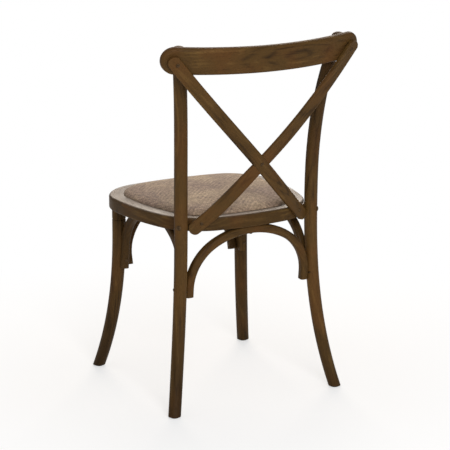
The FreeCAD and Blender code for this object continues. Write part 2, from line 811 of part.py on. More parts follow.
def seat_dome(name, shrink, bottom):
    """A straight wall, a rolled edge and a low crown, lying so far inside the cover's outer surface."""
    body = new_body(name)
    wall = outline_sketch(body, bottom, f"{COVER_EDGE} + {shrink}", f"{REAR_COVER_EDGE} + {shrink}")
    pad(body, wall, f"Sizes.seat_height - ({bottom})")
    sections = []
    for turn in ROLL_TURNS:
        inward = round(1 - math.cos(math.radians(turn)), 6)
        upward = round(math.sin(math.radians(turn)), 6)
        level = f"Sizes.seat_height + (Sizes.roll_rise - {shrink}) * {upward}"
        step_in = f"{shrink} + (Sizes.roll_width - {shrink}) * {inward}"
        inset = f"{COVER_EDGE} + {step_in}"
        rear_inset = f"{REAR_COVER_EDGE} + {step_in}"
        sections.append(outline_sketch(body, level, inset, rear_inset))
    for scale in CROWN_SCALES:
        risen = f"{level} + Sizes.crown_rise * (1 - {scale}^2)"
        sections.append(outline_sketch(body, risen, inset, rear_inset, scale))
    loft(body, sections)
    doc.recompute()
    return body


# Fasteners: each has a head outside its seat and a shank along its direction

# How many heads' heights of room stay free above a fastener's seat
HEAD_ROOM = 4
# How far a cutting tool reaches past the face it opens
MARGIN = 1
# The block that trims whatever rises above the ring's underside
TRIM_WIDTH = 1000
TRIM_HEIGHT = 100


def fastener(name, kind, seat, direction, length):
    """A screw or bolt with a low conical head."""
    shank = rod(name + "Shank", f"Sizes.{kind}_radius", length, seat, direction)
    head = doc.addObject("Part::Cone", name + "Head")
    head.setExpression("Radius1", f"Sizes.{kind}_head_radius")
    head.setExpression("Radius2", f"Sizes.{kind}_head_radius / 2")
    head.setExpression("Height", f"Sizes.{kind}_head_height")
    head.Placement = Placement(seat, Rotation(Vector(0, 0, 1), direction * -1))
    whole = doc.addObject("Part::Fuse", name)
    whole.Base = head
    whole.Tool = shank
    return whole


def bore(name, kind, seat, direction, length):
    """The hole for a fastener, and the room for its head."""
    narrow_radius = f"Sizes.{kind}_radius + Sizes.fit_gap"
    wide_radius = f"Sizes.{kind}_head_radius + Sizes.fit_gap"
    room = f"{HEAD_ROOM} * Sizes.{kind}_head_height"
    narrow = rod(name + "Bore", narrow_radius, f"{length} + Sizes.fit_gap", seat, direction)
    wide = rod(name + "HeadRoom", wide_radius, room, seat, direction * -1)
    whole = doc.addObject("Part::Fuse", name + "Hole")
    whole.Base = narrow
    whole.Tool = wide
    return whole


def fasteners(name, kind, seats, length):
    """A group of like fasteners and the group of their holes."""
    made = [fastener(f"{name}{number}", kind, *seat, length) for number, seat in enumerate(seats)]
    holes = [bore(f"{name}{number}", kind, *seat, length) for number, seat in enumerate(seats)]
    return group(name, made), group(name + "Holes", holes)


def both_sides(seats):
    """Each seat and its mirror image."""
    return seats + [(mirrored(point), mirrored(direction)) for point, direction in seats]


# The pieces in their places

post = post_blank()
post_room = bent_leg("PostRoom", post_stations(), "Sizes.fit_gap")
leg = leg_blank()
leg_room = bent_leg("LegRoom", leg_stations(), "Sizes.fit_gap")
ring = ring_blank()
crest = crest_blank("Crest", "0")
crest_room = crest_blank("CrestRoom", "Sizes.fit_gap")
post_room_right = mirror("PostRoomRight", post_room)
leg_room_right = mirror("LegRoomRight", leg_room)
under_ring = block(
    "RingUnderside", TRIM_WIDTH, TRIM_WIDTH, TRIM_HEIGHT,
    Placement(Vector(0, 0, value(RING_BOTTOM)), Rotation()),
)
upright = Vector(0, 0, 1)
leftward = Vector(1, 0, 0)
backward = Vector(0, 1, 0)

# Crossed slats, halved into each other
path = SlatPath()
strip = slat_blank("SlatStrip", path, 0)
strip_room = slat_blank("SlatRoom", path, size("fit_gap"))
strip_right = mirror("SlatStripRight", strip)
strip_room_right = mirror("SlatRoomRight", strip_room)
lap_turn = Rotation(upright, path.cross_normal)
lap_size = 3 * size("slat_width")
lap_turn_back = Rotation(upright, path.cross_normal * -1)
behind = Placement(path.cross - path.cross_normal * size("lap_gap"), lap_turn)
before = Placement(path.cross + path.cross_normal * size("lap_gap"), lap_turn_back)
rear_half = block("RearHalf", lap_size, lap_size, lap_size, behind)
front_half = block("FrontHalf", lap_size, lap_size, lap_size, before)
left_slat = cut("LeftSlat", strip, common("LeftLap", strip_room_right, front_half))
right_slat = cut("RightSlat", strip_right, common("RightLap", strip_room, rear_half))

# Screws through the slats
point, way, normal = path.station(2)
face = point + normal * value("Sizes.slat_thickness / 2")
top_seats = both_sides([(face, normal * -1)])
top_length = "Sizes.slat_thickness + Sizes.crest_thickness * Sizes.crest_bite_share"
top_screws, top_holes = fasteners("SlatTopScrew", "screw", top_seats, top_length)
point, way, normal = path.station(0)
face = point + normal * value("Sizes.slat_thickness / 2")
foot_seats = both_sides([(face, normal * -1)])
foot_length = "Sizes.foot_screw_share * Sizes.slat_thickness"
foot_screws, foot_holes = fasteners("SlatFootScrew", "screw", foot_seats, foot_length)
face = path.cross + path.cross_normal * value("Sizes.slat_thickness / 2")
cross_seats = [(face, path.cross_normal * -1)]
cross_length = "Sizes.slat_thickness - Sizes.cross_screw_short"
cross_screws, cross_holes = fasteners("CrossScrew", "screw", cross_seats, cross_length)

# Screws through the crest into the posts, hidden by the slats' heads
depth = value("Sizes.crest_thickness / 2 - Sizes.screw_head_height - Sizes.crest_screw_sink")
seat, normal = crest_point(size("crest_screw_across"), size("crest_screw_rise"), depth)
crest_seats = both_sides([(seat, normal * -1)])
crest_screws, crest_holes = fasteners("CrestScrew", "screw", crest_seats, "Sizes.crest_screw_length")

# Bolts through post, spacer and ring, with nuts on the ring's inner wall
corner_middle = ring_corner()
post_axis = Vector(size("post_across"), size("post_along"), 0)
outward = (post_axis - corner_middle).normalize()
spacer_middle = upright * size("spacer_level")
ring_face = corner_middle + outward * size("rear_corner_radius")
bolt_seat = post_axis + outward * value("Sizes.post_seat_radius + Sizes.fit_gap") + spacer_middle
inset = value("Sizes.rim_width + Sizes.ledge_width")
inner_middle = ring_corner(inset, value("Sizes.rear_rim_width + Sizes.ledge_width"))
lag = inner_middle - corner_middle
ahead = lag.dot(outward)
inner_radius = size("rear_corner_radius") - inset
inner_reach = ahead + math.sqrt(ahead ** 2 - lag.Length ** 2 + inner_radius ** 2)
nut_reach = inner_reach - size("nut_stand_off")
nut_seat = corner_middle + outward * nut_reach + spacer_middle
bolt_length = (bolt_seat - nut_seat).Length + value("Sizes.nut_height + Sizes.bolt_tail")
bolt_seats = both_sides([(bolt_seat, outward * -1)])
post_bolts, bolt_holes = fasteners("PostBolt", "bolt", bolt_seats, f"{bolt_length}")
nuts = []
for number, (seat, way) in enumerate(both_sides([(nut_seat, outward * -1)])):
    nut = doc.addObject("Part::Prism", f"Nut{number}")
    nut.Polygon = 6
    nut.setExpression("Circumradius", "Sizes.nut_radius")
    nut.setExpression("Height", "Sizes.nut_height")
    nut.Placement = Placement(seat, Rotation(upright, way))
    nut_bore = f"Sizes.nut_height + 2 * {MARGIN}"
    bore_foot = seat - way * MARGIN
    thread = rod(f"NutBore{number}", "Sizes.bolt_radius + Sizes.fit_gap", nut_bore, bore_foot, way)
    nuts.append(cut(f"BoredNut{number}", nut, thread))
post_nuts = group("PostNuts", nuts)

# Spacers, hollowed to the ring on one side and to the post on the other
ring_outside = new_body("RingOutside")
outside_sketch = outline_sketch(ring_outside, RING_BOTTOM, "-Sizes.fit_gap", "-Sizes.fit_gap")
pad(ring_outside, outside_sketch, "Sizes.ring_depth")
spacer_length = (post_axis - ring_face).Length
spacer_bottom = upright * value("Sizes.spacer_level - Sizes.spacer_height / 2")
spacer_foot = ring_face + outward * (spacer_length / 2) + spacer_bottom
spacer_block = block(
    "SpacerBlock", size("spacer_width"), 2 * spacer_length, size("spacer_height"),
    Placement(spacer_foot, Rotation(backward, outward)),
)
spacer = cut("Spacer", spacer_block, ring_outside, post_room, bolt_holes)
spacers = group("Spacers", [spacer, mirror("SpacerRight", spacer)])

# Bracing hoops and their screws
rear_hoop = hoop("RearHoop", "rear_hoop", rear_hoop_frame())
rear_hoop_room = hoop("RearHoopRoom", "rear_hoop", rear_hoop_frame(), "Sizes.fit_gap")
front_hoop = hoop("FrontHoop", "front_hoop", front_hoop_frame())
side_hoop = hoop("SideHoop", "side_hoop", side_hoop_frame())
side_hoop_room = hoop("SideHoopRoom", "side_hoop", side_hoop_frame(), "Sizes.fit_gap")
rear_screw_level = size("rear_hoop_screw_level")
screw_level = size("hoop_screw_level")
below_kink = value("Sizes.post_kink - Sizes.rear_hoop_screw_level")
rest = below_kink / value("Sizes.post_kink - Sizes.glide_height")
post_flank = size("post_across") + size("post_foot_splay") * rest ** size("post_foot_splay_curl")
post_flank = post_flank + size("post_seat_radius") + size("fit_gap")
rear_screw = rear_hoop_frame().multVec(upright * (rear_screw_level - size("rear_hoop_foot")))
rear_screw.x = post_flank
rear_length = "2 * Sizes.post_seat_radius + Sizes.hoop_bite_share * Sizes.hoop_thickness"
rear_seats = both_sides([(rear_screw, leftward * -1)])
rear_hoop_screws, rear_hoop_holes = fasteners("RearHoopScrew", "screw", rear_seats, rear_length)
near = value("Sizes.hoop_thickness / 2 + Sizes.fit_gap")
front_screw = front_hoop_frame().multVec(upright * (screw_level - size("front_hoop_foot")))
front_screw.x = size("front_hoop_half_span") - near
side_reach = size("side_hoop_half_span") - near
side_level = screw_level - size("side_hoop_foot")
side_front_screw = side_hoop_frame().multVec(Vector(-side_reach, 0, side_level))
side_rear_screw = side_hoop_frame().multVec(Vector(side_reach, 0, side_level))
hoop_seats = [(front_screw, leftward), (side_front_screw, backward * -1), (side_rear_screw, backward)]
hoop_length = "Sizes.hoop_thickness + Sizes.leg_bite_share * Sizes.leg_foot_radius"
hoop_screws, hoop_holes = fasteners("HoopScrew", "screw", both_sides(hoop_seats), hoop_length)
arches = [
    (rear_hoop_frame(), size("rear_hoop_rise")),
    (front_hoop_frame(), size("front_hoop_rise")),
]
crown_seats = []
for frame, rise in arches:
    crown_seats.append((frame.multVec(upright * (rise - near)), frame.Rotation.multVec(upright)))
inward = value("Sizes.hoop_depth / 2 + Sizes.fit_gap")
side_crown = side_hoop_frame().multVec(Vector(0, inward, size("side_hoop_rise")))
side_way = side_hoop_frame().Rotation.multVec(backward * -1)
crown_seats = crown_seats + both_sides([(side_crown, side_way)])
crown_length = "Sizes.hoop_thickness + Sizes.ring_depth / 2"
crown_screws, crown_holes = fasteners("CrownScrew", "screw", crown_seats, crown_length)

# Screws up through the ledge into the seat board
ledge_middle = value("Sizes.rim_width + Sizes.ledge_width - Sizes.seat_screw_edge")
rear_ledge = value("Sizes.rear_rim_width + Sizes.ledge_width - Sizes.seat_screw_edge")
front_spread = size("seat_screw_front_spread")
rear_spread = size("seat_screw_rear_spread")
front_fall = math.sqrt((size("front_bow_radius") - ledge_middle) ** 2 - front_spread ** 2)
rear_fall = math.sqrt((size("rear_bow_radius") - rear_ledge) ** 2 - rear_spread ** 2)
below_ring = value(RING_BOTTOM) - size("fit_gap")
board_spots = [
    Vector(size("ring_half_width") - ledge_middle, size("ring_widest"), below_ring),
    Vector(front_spread, value(FRONT_CENTRE) - front_fall, below_ring),
    Vector(rear_spread, value(REAR_CENTRE) + rear_fall, below_ring),
]
board_seats = both_sides([(spot, upright) for spot in board_spots])
board_bite = "Sizes.board_bite_share * Sizes.board_thickness"
board_length = f"Sizes.ring_depth - Sizes.rebate_depth + {board_bite}"
board_screws, board_holes = fasteners("BoardScrew", "screw", board_seats, board_length)

# Glides pressed into the four feet
post_foot_x = value("Sizes.post_across + Sizes.post_foot_splay")
post_foot_y = value("Sizes.post_along + Sizes.post_foot_rake")
post_foot = Vector(post_foot_x, post_foot_y, 0)
leg_foot_x = value("Sizes.leg_across + Sizes.leg_splay")
leg_foot_y = value("Sizes.leg_along - Sizes.leg_rake")
leg_foot = Vector(leg_foot_x, leg_foot_y, 0)
pin_length = "Sizes.glide_height + Sizes.glide_pin_length"
pin_hole_radius = "Sizes.glide_pin_radius + Sizes.fit_gap"
glides = []
pin_holes = []
for number, foot in enumerate([post_foot, leg_foot, mirrored(post_foot), mirrored(leg_foot)]):
    disc = doc.addObject("Part::Cone", f"GlideDisc{number}")
    disc.setExpression("Radius1", "Sizes.glide_foot_radius")
    disc.setExpression("Radius2", "Sizes.glide_radius")
    disc.setExpression("Height", "Sizes.glide_height")
    disc.Placement = Placement(foot, Rotation())
    pin = rod(f"GlidePin{number}", "Sizes.glide_pin_radius", pin_length, foot, upright)
    glide = doc.addObject("Part::Fuse", f"Glide{number}")
    glide.Base = disc
    glide.Tool = pin
    glides.append(glide)
    hole_length = f"{pin_length} + Sizes.fit_gap"
    pin_holes.append(rod(f"PinHole{number}", pin_hole_radius, hole_length, foot, upright))
foot_glides = group("FootGlides", glides)
glide_holes = group("GlideHoles", pin_holes)

# Ring with its sockets, housings and holes, split along the scarf
leg_axis = Vector(size("leg_across"), size("leg_along"), value(RING_BOTTOM) - MARGIN)
socket_length = f"Sizes.tenon_length + Sizes.fit_gap + {MARGIN}"
sockets = group("Sockets", [
    rod(f"Socket{number}", "Sizes.tenon_radius + Sizes.fit_gap", socket_length, foot, upright)
    for number, foot in enumerate([leg_axis, mirrored(leg_axis)])
])
side_room_right = mirror("SideHoopRoomRight", side_hoop_room)
ring_holes = (bolt_holes, foot_holes, crown_holes, board_holes)
whole_ring = cut("WholeRing", ring, sockets, side_hoop_room, side_room_right, *ring_holes)
scarf = scarf_block()

# Seat: board on the ledge, padding on the board and the woven cover round both
board_inset = f"{COVER_EDGE} + Sizes.cover_thickness + Sizes.fit_gap"
rear_board_inset = f"{REAR_COVER_EDGE} + Sizes.cover_thickness + Sizes.fit_gap"
board = new_body("Board")
pad(board, outline_sketch(board, LEDGE, board_inset, rear_board_inset), "Sizes.board_thickness")
padding_inset = "(Sizes.cover_thickness + Sizes.fit_gap)"
board_top = f"{LEDGE} + Sizes.board_thickness"
padding = seat_dome("Padding", padding_inset, f"{board_top} + Sizes.fit_gap")
cover_outside = seat_dome("CoverOutside", "0", "Sizes.cover_hem")
cover_inside = seat_dome("CoverInside", "Sizes.cover_thickness", f"Sizes.cover_hem - {MARGIN}")

# Left posts, legs and hoops with their housings and holes, to be mirrored to the right
left_post = cut(
    "LeftPost", post, crest_room,
    crest_holes, bolt_holes, rear_hoop_holes, hoop_holes, glide_holes,
)
left_leg = cut("LeftLeg", leg, hoop_holes, glide_holes)
left_side_hoop = cut(
    "LeftSideHoop", side_hoop, leg_room, post_room, rear_hoop_room,
    hoop_holes, crown_holes,
)

PARTS = {
    "crest_rail": cut("CrestRail", crest, top_holes, crest_holes),
    "left_back_post": left_post,
    "right_back_post": mirror("RightPost", left_post),
    "left_cross_slat": cut("LeftSlatBored", left_slat, top_holes, foot_holes, cross_holes),
    "right_cross_slat": cut("RightSlatBored", right_slat, top_holes, foot_holes, cross_holes),
    "seat_ring_front": common("RingFront", whole_ring, scarf),
    "seat_ring_rear": cut("RingRear", whole_ring, scarf),
    "post_spacers": spacers,
    "left_front_leg": left_leg,
    "right_front_leg": mirror("RightLeg", left_leg),
    "front_hoop": cut(
        "FrontHoopCoped", front_hoop, leg_room, leg_room_right, under_ring,
        hoop_holes, crown_holes,
    ),
    "rear_hoop": cut(
        "RearHoopCoped", rear_hoop, post_room, post_room_right, under_ring,
        rear_hoop_holes, hoop_holes, crown_holes,
    ),
    "left_hoop": left_side_hoop,
    "right_hoop": mirror("RightSideHoop", left_side_hoop),
    "seat_board": cut("BoardBored", board, board_holes),
    "seat_padding": padding,
    "woven_seat_cover": cut("Cover", cover_outside, cover_inside),
    "slat_top_screws": top_screws,
    "slat_foot_screws": foot_screws,
    "cross_screw": cross_screws,
    "crest_screws": crest_screws,
    "post_bolts": post_bolts,
    "post_bolt_nuts": post_nuts,
    "rear_hoop_screws": rear_hoop_screws,
    "hoop_screws": hoop_screws,
    "hoop_crown_screws": crown_screws,
    "seat_board_screws": board_screws,
    "foot_glides": foot_glides,
}
for node, piece in PARTS.items():
    piece.Label = node
doc.recompute()

for item in doc.Objects:
    if "Invalid" in item.State or "Error" in item.State:
        raise RuntimeError(f"{item.Name} failed: {item.State}")
for node, piece in PARTS.items():
    if piece.Shape.isNull() or not piece.Shape.isValid():
        raise RuntimeError(f"{node} has no valid shape")
os.makedirs("parts", exist_ok=True)
for node, piece in PARTS.items():
    piece.Shape.exportStep(os.path.join("parts", node + ".step"))
    print(node, len(piece.Shape.Solids), round(piece.Shape.Volume))
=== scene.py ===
"""Looks of the cross back chair: bent wood, a woven drop-in seat, dark screws and a plain studio."""

import math

import bmesh
import bpy
import numpy as np
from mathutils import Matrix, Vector


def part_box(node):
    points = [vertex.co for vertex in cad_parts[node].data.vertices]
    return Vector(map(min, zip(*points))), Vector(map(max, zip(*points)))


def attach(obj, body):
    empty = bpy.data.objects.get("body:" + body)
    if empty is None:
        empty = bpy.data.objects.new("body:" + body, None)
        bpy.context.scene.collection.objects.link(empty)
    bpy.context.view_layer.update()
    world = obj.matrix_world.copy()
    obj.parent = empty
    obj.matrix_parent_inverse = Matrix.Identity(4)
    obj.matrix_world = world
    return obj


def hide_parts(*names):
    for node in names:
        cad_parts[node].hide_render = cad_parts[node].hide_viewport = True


bl_info = {
    "name": "Cross back chair",
    "version": (1, 0, 0),
    "blender": (4, 5, 0),
    "location": "View3D > Sidebar > Chair",
    "description": "Dresses the cross back chair with wood, weave, screws and a studio",
    "category": "Object",
}

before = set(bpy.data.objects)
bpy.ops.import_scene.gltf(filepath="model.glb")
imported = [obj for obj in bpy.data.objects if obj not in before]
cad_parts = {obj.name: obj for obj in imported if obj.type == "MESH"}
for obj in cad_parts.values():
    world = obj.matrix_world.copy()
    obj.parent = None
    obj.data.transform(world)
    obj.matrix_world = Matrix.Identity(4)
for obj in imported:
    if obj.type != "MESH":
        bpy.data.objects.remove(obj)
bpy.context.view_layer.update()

MM = 0.001
SEAT_HEIGHT = 0.462
SEAT_MIDDLE = Vector((0.0, -0.0394, SEAT_HEIGHT))


# Sizes and colours that a user would change

class ChairWood(bpy.types.PropertyGroup):
    dark: bpy.props.FloatVectorProperty(
        name="Dark grain", description="Stain that has settled in the pores and late wood",
        default=(0.014, 0.0068, 0.0022), size=3, min=0, max=1, subtype="COLOR")
    middle: bpy.props.FloatVectorProperty(
        name="Stain", description="Main colour of the stained wood",
        default=(0.083, 0.0425, 0.0108), size=3, min=0, max=1, subtype="COLOR")
    light: bpy.props.FloatVectorProperty(
        name="Light grain", description="Early wood that took less stain",
        default=(0.176, 0.098, 0.0280), size=3, min=0, max=1, subtype="COLOR")
    red: bpy.props.FloatVectorProperty(
        name="Red streaks", description="Streaks where the stain turns red",
        default=(0.088, 0.0330, 0.0080), size=3, min=0, max=1, subtype="COLOR")
    relief: bpy.props.FloatProperty(
        name="Pore depth", description="How deep the open pores read under the lacquer",
        default=0.00022, min=0, max=0.002, unit="LENGTH")


class ChairWeave(bpy.types.PropertyGroup):
    strand: bpy.props.FloatProperty(
        name="Strand width", description="Pitch of the woven strands",
        default=0.0034, min=0.001, max=0.02, unit="LENGTH")
    run: bpy.props.IntProperty(
        name="Strands per rib", description="Strands before the twill turns back",
        default=11, min=2, max=60)
    warm: bpy.props.FloatVectorProperty(
        name="Warm strand", description="Tan strands",
        default=(0.500, 0.372, 0.245), size=3, min=0, max=1, subtype="COLOR")
    cool: bpy.props.FloatVectorProperty(
        name="Cool strand", description="Mauve strands",
        default=(0.300, 0.208, 0.162), size=3, min=0, max=1, subtype="COLOR")
    gap: bpy.props.FloatVectorProperty(
        name="Between strands", description="Shade between the strands",
        default=(0.060, 0.036, 0.024), size=3, min=0, max=1, subtype="COLOR")


class ChairStudio(bpy.types.PropertyGroup):
    daylight: bpy.props.FloatProperty(
        name="Daylight", description="Level of the white surroundings",
        default=0.48, min=0, max=5)
    key: bpy.props.FloatProperty(
        name="Key light", description="Power of the soft light beside and above the camera",
        default=80.0, min=0, max=500, unit="POWER")
    sheen: bpy.props.FloatProperty(
        name="Back light", description="Power of the soft light on the far side of the chair",
        default=85.0, min=0, max=500, unit="POWER")


# Shader nodes

class Shader:
    """A material's node tree with short ways to add and join its nodes."""

    def __init__(self, name):
        self.material = bpy.data.materials.new(name)
        self.material.use_nodes = True
        self.tree = self.material.node_tree
        self.tree.nodes.clear()
        self.output = self.node("ShaderNodeOutputMaterial")
        self.surface = self.node("ShaderNodeBsdfPrincipled")
        self.join(self.surface.outputs["BSDF"], self.output.inputs["Surface"])

    def node(self, kind, **settings):
        made = self.tree.nodes.new(kind)
        for key, setting in settings.items():
            setattr(made, key, setting)
        return made

    def join(self, source, target):
        self.tree.links.new(source, target)

    def feed(self, socket, source):
        """Joins a socket, or sets its value."""
        if isinstance(source, bpy.types.NodeSocket):
            self.join(source, socket)
        else:
            socket.default_value = source

    def math(self, operation, first, second=0.0, third=0.0):
        made = self.node("ShaderNodeMath", operation=operation)
        for socket, source in zip(made.inputs, (first, second, third)):
            self.feed(socket, source)
        return made.outputs[0]

    def vector(self, operation, first, second=(0, 0, 0)):
        made = self.node("ShaderNodeVectorMath", operation=operation)
        self.feed(made.inputs[0], first)
        self.feed(made.inputs[1], second)
        return made.outputs["Value" if operation == "LENGTH" else "Vector"]

    def split(self, source):
        made = self.node("ShaderNodeSeparateXYZ")
        self.join(source, made.inputs[0])
        return made.outputs

    def combine(self, *parts):
        made = self.node("ShaderNodeCombineXYZ")
        for socket, source in zip(made.inputs, parts):
            self.feed(socket, source)
        return made.outputs[0]

    def noise(self, place, scale=1.0, detail=2.0, roughness=0.5, distortion=0.0):
        made = self.node("ShaderNodeTexNoise")
        self.join(place, made.inputs["Vector"])
        made.inputs["Scale"].default_value = scale
        made.inputs["Detail"].default_value = detail
        made.inputs["Roughness"].default_value = roughness
        made.inputs["Distortion"].default_value = distortion
        return made.outputs[0]

    def spread(self, source, low, high, to_low=0.0, to_high=1.0):
        """Stretches the part of a value from low to high over a new range, clamped."""
        made = self.node("ShaderNodeMapRange")
        for socket, setting in zip(made.inputs, (source, low, high, to_low, to_high)):
            self.feed(socket, setting)
        return made.outputs[0]

    def scaled(self, source, factor):
        """A colour or a vector times a value."""
        made = self.node("ShaderNodeVectorMath", operation="SCALE")
        self.join(source, made.inputs[0])
        self.feed(made.inputs["Scale"], factor)
        return made.outputs["Vector"]

    def mix(self, share, first, second):
        made = self.node("ShaderNodeMix", data_type="RGBA")
        self.feed(made.inputs[0], share)
        for socket, source in ((made.inputs[6], first), (made.inputs[7], second)):
            self.feed(socket, source if isinstance(source, bpy.types.NodeSocket) else (*source, 1))
        return made.outputs[2]

    def bump(self, height, distance, strength=1.0):
        made = self.node("ShaderNodeBump")
        made.inputs["Strength"].default_value = strength
        made.inputs["Distance"].default_value = distance
        self.join(height, made.inputs["Height"])
        self.join(made.outputs[0], self.surface.inputs["Normal"])


def object_place(shader):
    """Object coordinates, which are the chair's own, because every piece sits at the origin."""
    return shader.node("ShaderNodeTexCoord").outputs["Object"]


# How the grain runs in each kind of piece: (along, across, deep) in metres

def grain_upright(level, bow):
    """Up the piece: the size of x, and y, each less its bow times the square of the height.

    The height counts from the level where the piece stands upright.
    """
    def run(shader, place):
        x, y, z = shader.split(place)
        height = shader.math("SUBTRACT", z, level)
        square = shader.math("MULTIPLY", height, height)
        side = shader.math("ABSOLUTE", x)
        across = shader.math("MULTIPLY_ADD", square, -bow[0], side)
        deep = shader.math("MULTIPLY_ADD", square, -bow[1], y)
        return shader.combine(z, across, deep)
    return run


def grain_level(bow_radius):
    """Along the rail, with y straightened by x squared over twice the bow's radius."""
    def run(shader, place):
        x, y, z = shader.split(place)
        square = shader.math("MULTIPLY", x, x)
        deep = shader.math("MULTIPLY_ADD", square, 0.5 / bow_radius, y)
        return shader.combine(x, z, deep)
    return run


SLAT_ACROSS = 0.7
SLAT_DEPTH = 0.12


def grain_slanted(side):
    """Along a slat's slant: z plus x times the side, and across it z less the same.

    The grain hardly changes through the thin strip.
    """
    def run(shader, place):
        x, y, z = shader.split(place)
        swing = shader.math("MULTIPLY", x, side)
        along = shader.math("ADD", z, swing)
        across = shader.math("SUBTRACT", z, swing)
        deep = shader.math("MULTIPLY", y, SLAT_DEPTH)
        return shader.combine(along, shader.math("MULTIPLY", across, SLAT_ACROSS), deep)
    return run


RING_SLANT = 1.3


def grain_round(middle):
    """Round the ring: x plus y times the slant is along, and the distance from the middle is across."""
    def run(shader, place):
        centred = shader.vector("SUBTRACT", place, tuple(middle))
        x, y, z = shader.split(centred)
        along = shader.math("MULTIPLY_ADD", y, RING_SLANT, x)
        across = shader.vector("LENGTH", shader.combine(x, y, 0.0))
        return shader.combine(along, across, z)
    return run


def grain_arch(sideways, middle, flat, springing, lean):
    """Over the arch: the offset plus the height is along, and the distance from a level bar is across.

    The bar lies at the springing and reaches as far as flat says each way of the middle. The depth moves
    by the height times the lean.
    """
    def run(shader, place):
        x, y, z = shader.split(place)
        span, deep = (y, x) if sideways else (x, y)
        offset = shader.math("ABSOLUTE", shader.math("SUBTRACT", span, middle))
        out = shader.math("MAXIMUM", shader.math("SUBTRACT", offset, flat), 0.0)
        up = shader.math("MAXIMUM", shader.math("SUBTRACT", z, springing), 0.0)
        across = shader.vector("LENGTH", shader.combine(out, up, 0.0))
        level = shader.math("MULTIPLY_ADD", z, lean, deep)
        return shader.combine(shader.math("ADD", offset, z), across, level)
    return run


# How much of the wood's tone each kind of grain makes
FIGURE_SHARE = 0.42
BAND_SHARE = 0.17
STREAK_SHARE = 0.24
FIBRE_SHARE = 0.20

# Growth bands in a unit of the slow contour, and how a heart's ellipses are squeezed, waver and end
BANDS = 13.0
HEART_SQUEEZE = (1.5, 6.0, 0.0)
HEART_WAVER = 0.45
HEART_REACH = 0.30

# Levels in metres: painted shade towards the floor ends at the first, and painted shade towards the top
# grows between the others
FOOT_SHADE_END = 0.26
HEAD_SHADE_START = 0.45
HEAD_SHADE_END = 0.65

# The most gloss that an upright face shows: the gloss follows which way a face points, so the lamps'
# sheen shows on level faces more than on upright ones
UPRIGHT_GLOSS = 0.10


